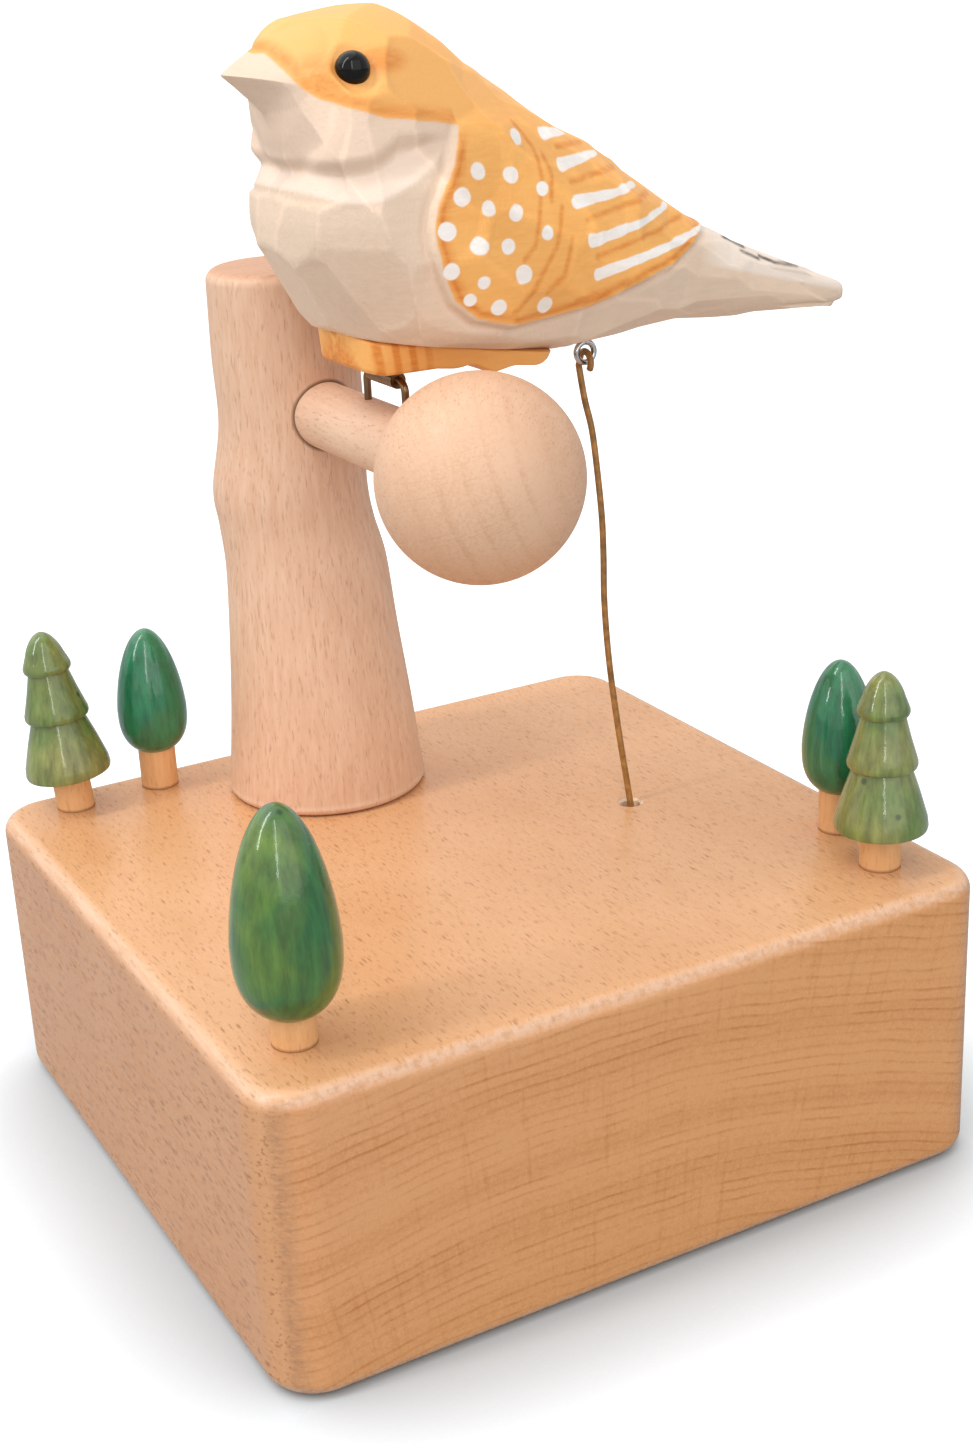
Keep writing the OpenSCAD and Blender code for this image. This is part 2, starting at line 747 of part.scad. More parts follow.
// Radius of an egg tree at a height share up, from -1 at its foot to 1 at its tip:
// blunt below, drawn out above
function egg_radius(up) =
    up < 0 ? pow(1 - pow(-up, 3), 0.5) : pow(1 - pow(up, 2.2), 0.5) * (1 - 0.18 * up);

// Side of an egg tree
function egg_side(r, h) =
    let(low = 0.37 * h)
    [for (a = [-90 : 7.5 : 90])
        let(up = sin(a))
        [abs(a) == 90 ? 0 : r * egg_radius(up), low + up * (a < 0 ? low : h - low)]];

module egg_crown(at, r, h, stem) {
    planted(at) translate([0, 0, stem]) difference() {
        rotate_extrude() polygon(egg_side(r, h - stem));
        translate([0, 0, -1]) cylinder(r = stem_r + seat_gap, h = crown_depth + 1);
    }
}

// Side of a fir: three flared tiers and a round tip
function fir_side(r, h) = concat(
    [[0, 0], [0.9 * r, 0], [r, 0.03 * h], [0.98 * r, 0.08 * h], [0.8 * r, 0.25 * h], [0.62 * r, 0.4 * h]],
    [[0.74 * r, 0.41 * h], [0.75 * r, 0.44 * h], [0.6 * r, 0.58 * h], [0.46 * r, 0.73 * h]],
    [[0.55 * r, 0.74 * h], [0.56 * r, 0.77 * h], [0.4 * r, 0.89 * h]],
    [for (a = [0 : 18 : 90]) [a == 90 ? 0 : 0.32 * r * cos(a), 0.93 * h + 0.07 * h * sin(a)]]
);

module fir_crown(at, lean = 0) {
    planted(at, lean) translate([0, 0, fir_stem]) difference() {
        rotate_extrude() polygon(fir_side(fir_r, fir_h - fir_stem));
        translate([0, 0, -1]) cylinder(r = stem_r + seat_gap, h = crown_depth + 1);
    }
}

module stem(at, free, lean = 0) {
    color(pale_beech) planted(at, lean) translate([0, 0, -stem_depth])
        cylinder(r = stem_r, h = stem_depth + free + crown_depth);
}

module left_fir_crown() { color(olive_green) fir_crown(left_fir_at, fir_lean); }
module left_fir_stem() { stem(left_fir_at, fir_stem, fir_lean); }
module back_egg_crown() {
    color(deep_green) egg_crown(back_egg_at, small_egg_r, small_egg_h, small_egg_stem);
}
module back_egg_stem() { stem(back_egg_at, small_egg_stem); }
module front_egg_crown() {
    color(mid_green) egg_crown(front_egg_at, front_egg_r, front_egg_h, front_egg_stem);
}
module front_egg_stem() { stem(front_egg_at, front_egg_stem); }
module right_egg_crown() {
    color(deep_green) egg_crown(right_egg_at, small_egg_r, small_egg_h, small_egg_stem);
}
module right_egg_stem() { stem(right_egg_at, small_egg_stem); }
module right_fir_crown() { color(olive_green) fir_crown(right_fir_at); }
module right_fir_stem() { stem(right_fir_at, fir_stem); }

// Movement

module at_plate_screws() {
    for (p = plate_screw_at)
        translate([p[0], p[1], board_z]) children();
}

module at_comb_screws() {
    for (s = [0.2, 0.8])
        translate([comb_x + s * comb_teeth * comb_pitch, comb_y + comb_l - 4.5, axis_z - comb_t / 2])
            children();
}

module bearing_post(x) {
    translate([x, tune_y - post_w / 2, plate_top - eps]) cube([post_t, post_w, axis_h + post_rise + eps]);
}

module movement_plate() {
    color(dark_steel) difference() {
        union() {
            translate([plate_min[0], plate_min[1], plate_z])
                cube([plate_max[0] - plate_min[0], plate_max[1] - plate_min[1], plate_t]);
            bearing_post(post_a_x);
            bearing_post(post_b_x);
            translate([comb_x, comb_block_y, plate_top - eps])
                cube([comb_teeth * comb_pitch, comb_y + comb_l - comb_block_y, axis_h - comb_t / 2 + eps]);
        }
        translate([post_a_x - 1, tune_y, axis_z])
            x_rod(tune_arbor_r + run_gap, post_b_x - post_a_x + post_t + 2);
        translate([wind_x, tune_y, plate_z - 1]) cylinder(r = wind_arbor_r + run_gap, h = plate_t + 2);
        translate([worm_x, worm_y, plate_top - 1.5]) cylinder(r = worm_shaft_r + run_gap, h = 3);
        at_plate_screws() cylinder(r = plate_screw_r + seat_gap, h = board_t + plate_t + 1);
        at_comb_screws() translate([0, 0, -4]) cylinder(r = 0.9 + seat_gap, h = 5);
    }
}

module movement_screws() {
    color(steel) at_plate_screws() countersunk_screw(plate_screw_r, board_t + plate_t);
}

module spring_barrel() {
    h = barrel_top - plate_top;
    color(brass) translate([wind_x, tune_y, plate_top]) difference() {
        cylinder(r = barrel_r, h = h);
        translate([0, 0, 1]) cylinder(r = barrel_r - barrel_wall, h = h);
        translate([0, 0, -1]) cylinder(r = wind_arbor_r + run_gap, h = h);
    }
}

// Spiral strip from the arbor out to the barrel's wall
module mainspring() {
    r_in = wind_arbor_r + 1.2;
    r_out = barrel_r - barrel_wall - spring_t - 0.1;
    turns = [for (a = [0 : 15 : 360 * spring_turns]) a];
    function spiral(a, off) =
        let(r = r_in + (r_out - r_in) * a / (360 * spring_turns) + off) r * [cos(a), sin(a)];
    outer = [for (a = turns) spiral(a, spring_t)];
    inner = [for (i = [len(turns) - 1 : -1 : 0]) spiral(turns[i], 0)];
    color(dark_steel) translate([wind_x, tune_y, plate_top + 1])
        linear_extrude(barrel_top - plate_top - 2) polygon(concat(outer, inner));
}

module winding_arbor() {
    low = key_hub_z + 2;
    color(steel) translate([wind_x, tune_y, low])
        cylinder(r = wind_arbor_r, h = crown_disc_z + crown_disc_t + 1 - low);
}

module winding_key() {
    lobe_z = key_lobe_r + 1.2;
    reach = key_span / 2 - key_lobe_r;
    color(steel) translate([wind_x, tune_y, 0]) difference() {
        union() {
            translate([0, 0, key_hub_z]) cylinder(r = key_hub_r, h = key_hub_l);
            for (s = [-1, 1])
                translate([s * reach, 0, lobe_z]) rotate([90, 0, 0])
                    cylinder(r = key_lobe_r, h = key_t, center = true);
            translate([0, 0, lobe_z]) cube([2 * reach, key_t, key_lobe_r], center = true);
        }
        translate([0, 0, key_hub_z + 2]) cylinder(r = wind_arbor_r + seat_gap, h = key_hub_l);
        for (s = [-1, 1])
            translate([s * reach, 0, lobe_z]) rotate([90, 0, 0])
                cylinder(r = 0.35 * key_lobe_r, h = 2 * key_t, center = true);
    }
}

// Crown wheel: a disc with a ring of slim teeth that hang from its rim
module great_wheel() {
    inner = crown_r - crown_face / 2;
    outer = crown_r + crown_face / 2;
    pitch = PI * crown_mod;
    tooth_h = crown_disc_z - crown_tip_z;
    color(brass) translate([wind_x, tune_y, 0]) {
        difference() {
            translate([0, 0, crown_disc_z]) cylinder(r = outer, h = crown_disc_t);
            cylinder(r = wind_arbor_r + seat_gap, h = 2 * crown_disc_z);
            for (a = [45 : 90 : 315])
                rotate(a) translate([0.55 * crown_r, 0, 0])
                    cylinder(r = 0.2 * crown_r, h = 2 * crown_disc_z);
        }
        for (i = [0 : crown_teeth - 1])
            rotate(360 * i / crown_teeth) translate([inner, 0, crown_disc_z + eps]) rotate([90, 0, 90])
                linear_extrude(crown_face)
                    polygon([
                        [-0.2 * pitch, 0],
                        [-0.09 * pitch, -tooth_h],
                        [0.09 * pitch, -tooth_h],
                        [0.2 * pitch, 0]
                    ]);
    }
}

// Pinned cylinder: eighteen tracks, each with three pins set round by the golden angle
module tune_cylinder() {
    golden = 137.5;
    color(brass) translate([tune_x, tune_y, axis_z]) {
        difference() {
            x_rod(tune_r, tune_l);
            translate([-1, 0, 0]) x_rod(tune_arbor_r + seat_gap, tune_l + 2);
        }
        for (i = [0 : comb_teeth - 1], k = [0 : 2])
            translate([comb_x - tune_x + (i + 0.5) * comb_pitch, 0, 0])
                rotate([golden * (3 * i + k), 0, 0]) translate([0, 0, tune_r - 0.3])
                    cylinder(r = 0.22, h = pin_l + 0.3, $fn = 16);
    }
}

module cylinder_arbor() {
    start = crown_pinion_x - 0.3;
    color(steel) translate([start, tune_y, axis_z])
        x_rod(tune_arbor_r, post_b_x + post_t + 0.4 - start);
}

module cylinder_pinion() {
    color(brass) translate([crown_pinion_x, tune_y, axis_z])
        x_wheel(
            crown_pinion_teeth, crown_mod, crown_face,
            tune_arbor_r + seat_gap, 90 + 180 / crown_pinion_teeth
        );
}

module cylinder_gear() {
    color(brass) translate([gear_x, tune_y, axis_z])
        x_wheel(gear_teeth, train_mod, gear_t, tune_arbor_r + seat_gap, 180);
}

// Steel comb: the teeth grow longer toward the bass end
module comb() {
    w = comb_teeth * comb_pitch;
    color(steel) difference() {
        translate([comb_x, comb_y, axis_z - comb_t / 2]) linear_extrude(comb_t) difference() {
            square([w, comb_l]);
            for (i = [1 : comb_teeth - 1])
                translate([i * comb_pitch - 0.15, -1]) square([0.3, 1 + 6 + 4 * i / comb_teeth]);
        }
        at_comb_screws() translate([0, 0, -1]) cylinder(r = 0.9 + run_gap, h = comb_t + 2);
    }
}

module comb_screws() {
    color(dark_steel) at_comb_screws() {
        translate([0, 0, -3.5]) cylinder(r = 0.9, h = 3.5 + comb_t);
        translate([0, 0, comb_t]) difference() {
            cylinder(r = 2, h = 1.2);
            translate([0, 0, 1]) cube([5, 0.5, 0.8], center = true);
        }
    }
}

// Bent sheet that carries the crank shaft and the top pivot of the worm
module governor_bracket() {
    top = axis_z + 3;
    front = tune_y - tune_r - pin_l - 0.4;
    color(steel) difference() {
        union() {
            for (x = [bracket_a_x, bracket_b_x])
                translate([x, back_y, plate_top]) cube([bracket_t, front - back_y, top - plate_top]);
            translate([bracket_a_x, back_y, plate_top])
                cube([bracket_b_x + bracket_t - bracket_a_x, bracket_t, top - plate_top]);
            translate([worm_x - 2, back_y, top - eps]) cube([4, bracket_t, arm_z + arm_t - top + eps]);
            translate([worm_x - 2, back_y, arm_z]) cube([4, worm_y + 2 - back_y, arm_t]);
        }
        translate([bracket_a_x - 1, crank_y, axis_z])
            x_rod(crank_shaft_r + run_gap, bracket_b_x - bracket_a_x + bracket_t + 2);
        translate([worm_x, worm_y, arm_z - 1]) cylinder(r = worm_shaft_r + run_gap, h = arm_t + 2);
    }
}

module crank_shaft() {
    start = bracket_a_x - 0.4;
    color(steel) translate([start, crank_y, axis_z]) x_rod(crank_shaft_r, disc_x + disc_t - start);
}

module crank_pinion() {
    color(steel) translate([gear_x, crank_y, axis_z])
        x_wheel(crank_pinion_teeth, train_mod, gear_t, crank_shaft_r + seat_gap, 180 / crank_pinion_teeth);
}

module worm_wheel() {
    color(brass) translate([worm_wheel_x, crank_y, axis_z])
        x_wheel(worm_teeth, 2 * worm_wheel_r / worm_teeth, worm_wheel_t, crank_shaft_r + seat_gap, 180);
}

module crank_disc() {
    color(brass) translate([disc_x, crank_y, axis_z]) difference() {
        x_rod(crank_disc_r, disc_t);
        translate([-1, 0, 0]) x_rod(crank_shaft_r + seat_gap, disc_t + 2);
        translate([-1, crank_throw, 0]) x_rod(0.6 + seat_gap, disc_t + 2);
    }
}

module crank_pin() {
    color(steel) translate([disc_x, crank_y + crank_throw, axis_z]) x_rod(0.6, pin_end_x - disc_x);
}

// Worm: a round core set off its axis and wound up along it.
// At rest a gap of the thread faces the wheel at the height of the wheel's axis.
module governor_worm() {
    offset_r = 0.45;
    rest = 270 - 360 * worm_l / 2 / worm_lead;
    color(steel) translate([worm_x, worm_y, 0]) {
        translate([0, 0, plate_top - 1.4]) cylinder(r = worm_shaft_r, h = arm_z + arm_t - plate_top + 1.4);
        translate([0, 0, axis_z - worm_l / 2]) rotate(rest)
            linear_extrude(worm_l, twist = -360 * worm_l / worm_lead, slices = 40)
                translate([offset_r, 0]) circle(worm_r - offset_r, $fn = 12);
    }
}

module governor_fan() {
    color(brass) translate([worm_x, worm_y, fan_z]) difference() {
        union() {
            cylinder(r = 1.6, h = fan_h);
            translate([-fan_r, -0.25, 0]) cube([2 * fan_r, 0.5, fan_h]);
        }
        translate([0, 0, -1]) cylinder(r = worm_shaft_r + seat_gap, h = fan_h + 2);
    }
}

base_block();
bottom_board();
board_screws();
trunk();
trunk_screw();
branch();
perch_ball();
perch_staple();
hinge_knuckle();
bird_body();
foot_pad();
bird_eyes();
tail_screw_eye();
pull_wire();
left_fir_crown();
left_fir_stem();
back_egg_crown();
back_egg_stem();
front_egg_crown();
front_egg_stem();
right_egg_crown();
right_egg_stem();
right_fir_crown();
right_fir_stem();
movement_plate();
movement_screws();
spring_barrel();
mainspring();
winding_arbor();
winding_key();
great_wheel();
tune_cylinder();
cylinder_arbor();
cylinder_pinion();
cylinder_gear();
comb();
comb_screws();
governor_bracket();
crank_shaft();
crank_pinion();
worm_wheel();
crank_disc();
crank_pin();
governor_worm();
governor_fan();
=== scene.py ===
"""Dresses the wind-up music box: beech block, turned trunk, carved bird, dyed trees and pull wire."""
import math

import bpy
import numpy as np
from mathutils import Matrix, Vector


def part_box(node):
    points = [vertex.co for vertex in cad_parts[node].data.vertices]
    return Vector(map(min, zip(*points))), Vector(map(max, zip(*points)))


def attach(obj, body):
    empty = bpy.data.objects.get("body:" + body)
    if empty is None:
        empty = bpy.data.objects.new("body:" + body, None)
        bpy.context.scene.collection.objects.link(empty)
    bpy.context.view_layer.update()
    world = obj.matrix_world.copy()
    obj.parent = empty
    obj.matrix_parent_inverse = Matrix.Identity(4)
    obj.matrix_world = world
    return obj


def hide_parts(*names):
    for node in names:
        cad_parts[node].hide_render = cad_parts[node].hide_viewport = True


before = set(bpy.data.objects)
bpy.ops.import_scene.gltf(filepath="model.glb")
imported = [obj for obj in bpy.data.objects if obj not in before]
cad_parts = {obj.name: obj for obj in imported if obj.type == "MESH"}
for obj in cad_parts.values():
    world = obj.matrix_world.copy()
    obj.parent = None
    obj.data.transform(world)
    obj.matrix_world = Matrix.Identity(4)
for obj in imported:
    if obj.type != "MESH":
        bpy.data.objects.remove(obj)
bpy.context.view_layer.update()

bl_info = {
    "name": "Music box with a rocking bird",
    "version": (1, 0, 0),
    "blender": (4, 5, 0),
    "location": "View3D > Sidebar > Music box",
    "description": "Dresses the music box: beech block, turned trunk, carved bird, dyed trees and pull wire",
    "category": "Object",
}

MM = 0.001

# The places that the solids use, in millimetres
HINGE = np.array([-6.6, 2.4, 117.0])
BLOCK_TOP = 45.0
TRUNK = np.array([-6.6, 33.8])
BRANCH_Z = 107.7
BALL = np.array([-6.6, -24.2, 107.7])
SCREW_EYE = HINGE + [32.8, 0, -1.1]
WIRE_HOLE = np.array([29.0, -2.8, BLOCK_TOP])
CRANK = np.array([29.711, -4.12, 27.0])
# Right and away as seen from the front corner, level with the floor
RIGHT = np.array([0.88, -0.47, 0.0])
AWAY = np.array([0.47, 0.88, 0.0])


def linear(code):
    """Turns an sRGB hex colour into linear red, green and blue."""
    c = np.array([int(code[i:i + 2], 16) for i in (1, 3, 5)]) / 255
    return tuple(float(v) for v in np.where(c <= 0.04045, c / 12.92, ((c + 0.055) / 1.055) ** 2.4))


def scaled(base, factors):
    """A colour with its red, green and blue multiplied by one factor, or by a factor each."""
    return tuple(float(v) for v in np.array(base) * factors)


def colour(code, name, description):
    """A colour that a user may change, kept linear."""
    return bpy.props.FloatVectorProperty(
        name=name, description=description, subtype="COLOR", size=3, min=0, max=1, default=linear(code))


def length(mm, name, description):
    """A length that a user may change, kept in metres."""
    return bpy.props.FloatProperty(name=name, description=description, unit="LENGTH", default=mm * MM)


class MusicBoxSizes(bpy.types.PropertyGroup):
    """Sizes of the dressed pieces."""
    trunk_foot: length(16, "Trunk foot", "Radius of the trunk where it stands on the block")
    trunk_top: length(11.25, "Trunk top", "Radius of the trunk at its top")
    trunk_wave: length(2.2, "Trunk wave", "How far the trunk swells to one side")
    ball: length(14, "Ball", "Radius of the ball on the branch")
    branch: length(5, "Branch", "Radius of the branch")
    wing_lift: length(0.9, "Wing lift", "How far the wing stands proud of the body")
    collar: length(1.9, "Collar", "Depth of the gouged groove under the cheek")
    facet: bpy.props.FloatProperty(
        name="Knife cuts", description="How flat the knife left each cut, from 0 to 1", subtype="FACTOR",
        min=0, max=1, default=1.0)
    ring: length(1.6, "Year ring", "Width of a year ring in the block's end grain")


class MusicBoxColours(bpy.types.PropertyGroup):
    """Colours of the woods, paints and metals."""
    beech_pale: colour("#e4af80", "Beech, pale", "Oiled beech between the growth lines")
    beech_deep: colour("#d1935d", "Beech, deep", "Oiled beech in the growth lines")
    beech_end: colour("#e3a46c", "Beech, end", "Oiled beech on the end grain")
    raw_pale: colour("#ebc5a8", "Raw beech, pale", "Unfinished beech between the growth lines")
    raw_deep: colour("#d5a27f", "Raw beech, deep", "Unfinished beech in the growth lines")
    fleck: colour("#9c653a", "Fleck", "Rays of beech cut across")
    cap: colour("#fcb96a", "Cap paint", "Pale orange of the bird's cap and back")
    orange: colour("#febb66", "Orange paint", "Wing of the bird")
    orange_deep: colour("#e07f22", "Orange strokes", "Brush strokes and edges on the bird")
    cream: colour("#efd1b8", "Cream paint", "Cheeks and beak of the bird")
    stone: colour("#ecd0b6", "Stone paint", "Breast, belly and tail of the bird")
    white: colour("#fffaf5", "White paint", "Spots and bars on the wing")
    fir: colour("#5f7836", "Fir dye", "Olive dye of the two firs")
    egg: colour("#16704a", "Egg tree dye", "Deep green dye of the two small egg trees")
    front_egg: colour("#25642f", "Front tree dye", "Grass green dye of the front egg tree")
    wire: colour("#a87a42", "Wire lacquer", "Brown lacquer on the pull wire")


def sizes():
    return bpy.context.scene.music_box_sizes


def colours():
    return bpy.context.scene.music_box_colours


# Shapes as whole arrays


def through(rows, t):
    """Smooth curve through rows at knot numbers t: each stretch is the cubic set by its four nearest knots."""
    rows, t = np.asarray(rows, float), np.asarray(t, float)
    last = len(rows) - 1
    i = np.clip(np.floor(t).astype(int), 0, last - 1)
    f = (t - i)[:, None]
    a, b, c, d = (rows[np.clip(i + k, 0, last)] for k in (-1, 0, 1, 2))
    square, cube = a - 2.5 * b + 2 * c - d / 2, 1.5 * b - 1.5 * c + (d - a) / 2
    return b + f * (c - a) / 2 + f ** 2 * square + f ** 3 * cube


def ease(a, b, x):
    """Rises smoothly from 0 to 1 as x goes from a to b."""
    t = np.clip((x - a) / (b - a), 0, 1)
    return t * t * (3 - 2 * t)


def unit(v):
    """Vectors made one long."""
    return v / np.maximum(np.linalg.norm(v, axis=-1, keepdims=True), 1e-9)


def circle(sides):
    """Angles once round in equal steps."""
    return np.linspace(0, 2 * np.pi, sides, endpoint=False)


def bulge(w, power):
    """A sine or cosine raised to a power, sign kept: powers under 1 square an oval, powers over 1 pinch it."""
    return np.sign(w) * np.abs(w) ** power


def side_distances(p, a, d):
    """Distance from each point to each straight stretch that starts at a and runs along d."""
    q = p[..., None, :] - a
    t = np.clip((q * d).sum(-1) / (d * d).sum(-1), 0, 1)
    return np.linalg.norm(q - t[..., None] * d, axis=-1)


def line_distance(p, path):
    """Distance from points p to an open line of straight stretches."""
    a = np.asarray(path, float)
    return side_distances(p, a[:-1], a[1:] - a[:-1]).min(-1)


def edge_distance(p, corners):
    """Signed distance from points p to a closed outline, negative inside: nearest side, sign by crossings."""
    a = np.asarray(corners, float)
    b = np.roll(a, -1, axis=0)
    d = b - a
    near = side_distances(p, a, d).min(-1)
    y = p[..., 1:]
    cross = (a[:, 1] > y) != (b[:, 1] > y)
    x = a[:, 0] + (y - a[:, 1]) * d[:, 0] / np.where(d[:, 1] == 0, 1e-9, d[:, 1])
    inside = (cross & (p[..., :1] < x)).sum(-1) % 2 == 1
    return np.where(inside, -near, near)


def normals_of(grid):
    """Outward directions on a closed grid: cross product of its two step directions."""
    along = np.gradient(grid, axis=0)
    around = (np.roll(grid, -1, axis=1) - np.roll(grid, 1, axis=1)) / 2
    return unit(np.cross(around, along))


def piece(name, grid, body, replaced, attributes=None, sharp=None):
    """Closed skin over a grid of rings in millimetres, with a fan at each end, that rides on a body."""
    m, n = grid.shape[:2]
    points = np.concatenate([grid.reshape(-1, 3), grid[0].mean(0)[None], grid[-1].mean(0)[None]])
    i, j = np.meshgrid(np.arange(m - 1), np.arange(n), indexing="ij")
    k = (j + 1) % n
    quads = np.stack([i * n + j, i * n + k, (i + 1) * n + k, (i + 1) * n + j], -1).reshape(-1, 4)
    j = np.arange(n)
    k = (j + 1) % n
    foot = np.stack([np.full(n, m * n), k, j], -1)
    head = np.stack([np.full(n, m * n + 1), (m - 1) * n + j, (m - 1) * n + k], -1)
    mesh = bpy.data.meshes.new(name)
    mesh.from_pydata((points * MM).tolist(), [], quads.tolist() + foot.tolist() + head.tolist())
    mesh.polygons.foreach_set("use_smooth", np.ones(len(mesh.polygons), bool))
    if sharp:
        mesh.set_sharp_from_angle(angle=math.radians(sharp))
    for key, values in (attributes or {}).items():
        flat = np.concatenate([values.reshape(-1), values[0].mean()[None], values[-1].mean()[None]])
        mesh.attributes.new(key, "FLOAT", "POINT").data.foreach_set("value", flat.astype(np.float32))
    mesh.update()
    obj = bpy.data.objects.new(name, mesh)
    bpy.context.scene.collection.objects.link(obj)
    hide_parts(*replaced)
    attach(obj, body)
    return obj


def turned(profile, centre, sides=96, axis=(0, 0, 1)):
    """Turned form: each (radius, height) of the profile becomes a ring about an axis through the centre."""
    w = unit(np.asarray(axis, float))
    u = unit(np.cross([0.0, 1.0, 0.0] if abs(w[1]) < 0.9 else [1.0, 0.0, 0.0], w))
    v = np.cross(w, u)
    a = circle(sides)[:, None]
    ring = np.cos(a) * u + np.sin(a) * v
    p = np.asarray(profile, float)
    return np.asarray(centre) + p[:, 0, None, None] * ring + p[:, 1, None, None] * w


# A slant direction that no wire runs along
SLANT = (0.31, 0.94, 0.05)


def drawn(path, radius, sides=16, across=None):
    """Wire: a circle carried along a path and square to it.

    The circle's first side is across, for a path that lies in the plane square to it, or else it is square to the
    path and to the slant direction.
    """
    p = np.asarray(path, float)
    d = unit(np.gradient(p, axis=0))
    u = unit(np.cross(d, SLANT)) if across is None else np.broadcast_to(across, p.shape)
    v = np.cross(d, u)
    a = circle(sides)[None, :, None]
    return p[:, None] + radius * (np.cos(a) * u[:, None] + np.sin(a) * v[:, None])


# Materials

# Scale that turns Object coordinates into millimetres
MILLIMETRES = (1000, 1000, 1000)


class Nodes:
    """Adds nodes to one shader tree; the methods below add return the output that the next node takes."""

    def __init__(self, tree):
        self.tree = tree

    def add(self, kind, inputs=(), **settings):
        """Adds a node: settings are its own options, inputs give each socket a value or another output."""
        node = self.tree.nodes.new("ShaderNode" + kind)
        for key, value in settings.items():
            setattr(node, key, value)
        for key, value in dict(inputs).items():
            if isinstance(value, bpy.types.NodeSocket):
                self.tree.links.new(value, node.inputs[key])
            else:
                node.inputs[key].default_value = value
        return node

    def link(self, node, outputs):
        """Joins outputs to a node's named sockets."""
        for key, value in outputs.items():
            self.tree.links.new(value, node.inputs[key])

    def math(self, operation, *values, clamp=False):
        return self.add("Math", enumerate(values), operation=operation, use_clamp=clamp).outputs[0]

    def times(self, a, b, clamp=False):
        return self.math("MULTIPLY", a, b, clamp=clamp)

    def vector(self, operation, *values):
        node = self.add("VectorMath", enumerate(values), operation=operation)
        return node.outputs["Value" if operation in ("LENGTH", "DOT_PRODUCT") else "Vector"]

    def gain(self, tone, factor):
        """A colour times a factor."""
        return self.add("VectorMath", {0: tone, "Scale": factor}, operation="SCALE").outputs[0]

    def span(self, value, low, high, to_low=0.0, to_high=1.0, smooth=False):
        """Maps low..high to to_low..to_high and stops at the ends."""
        return self.add("MapRange", {0: value, 1: low, 2: high, 3: to_low, 4: to_high},
                        interpolation_type="SMOOTHSTEP" if smooth else "LINEAR").outputs[0]

    def mix(self, factor, below, above, blend="MIX"):
        """Lays one colour over another."""
        a, b = (v if isinstance(v, bpy.types.NodeSocket) else (*v, 1) for v in (below, above))
        return self.add("Mix", {0: factor, 6: a, 7: b}, data_type="RGBA", blend_type=blend).outputs[2]

    def noise(self, place, scale, detail, roughness=0.5, distortion=0.0):
        return self.add("TexNoise", {"Vector": place, "Scale": scale, "Detail": detail, "Roughness": roughness,
                                     "Distortion": distortion}).outputs["Fac"]

    def noise_along(self, w, scale):
        """Noise that varies along one number only."""
        return self.add("TexNoise", {"W": w, "Scale": scale, "Detail": 1.0}, noise_dimensions="1D").outputs["Fac"]

    def mapping(self, place, scale=MILLIMETRES, **more):
        return self.add("Mapping", {0: place, "Scale": scale, **more}).outputs[0]

    def parts(self, place):
        """X, Y and Z of a vector."""
        return tuple(self.add("SeparateXYZ", {0: place}).outputs)

    def bump(self, height, strength, distance):
        return self.add("Bump", {"Height": height, "Strength": strength, "Distance": distance}).outputs[0]


def new_material(name, **shader):
    """An empty material with its shader's plain values set on the shader's own sockets."""
    m = bpy.data.materials.new(name)
    m.use_nodes = True
    s = m.node_tree.nodes["Principled BSDF"]
    for key, value in shader.items():
        s.inputs[key.replace("_", " ").title().replace("Ior", "IOR")].default_value = value
    return m, Nodes(m.node_tree), s


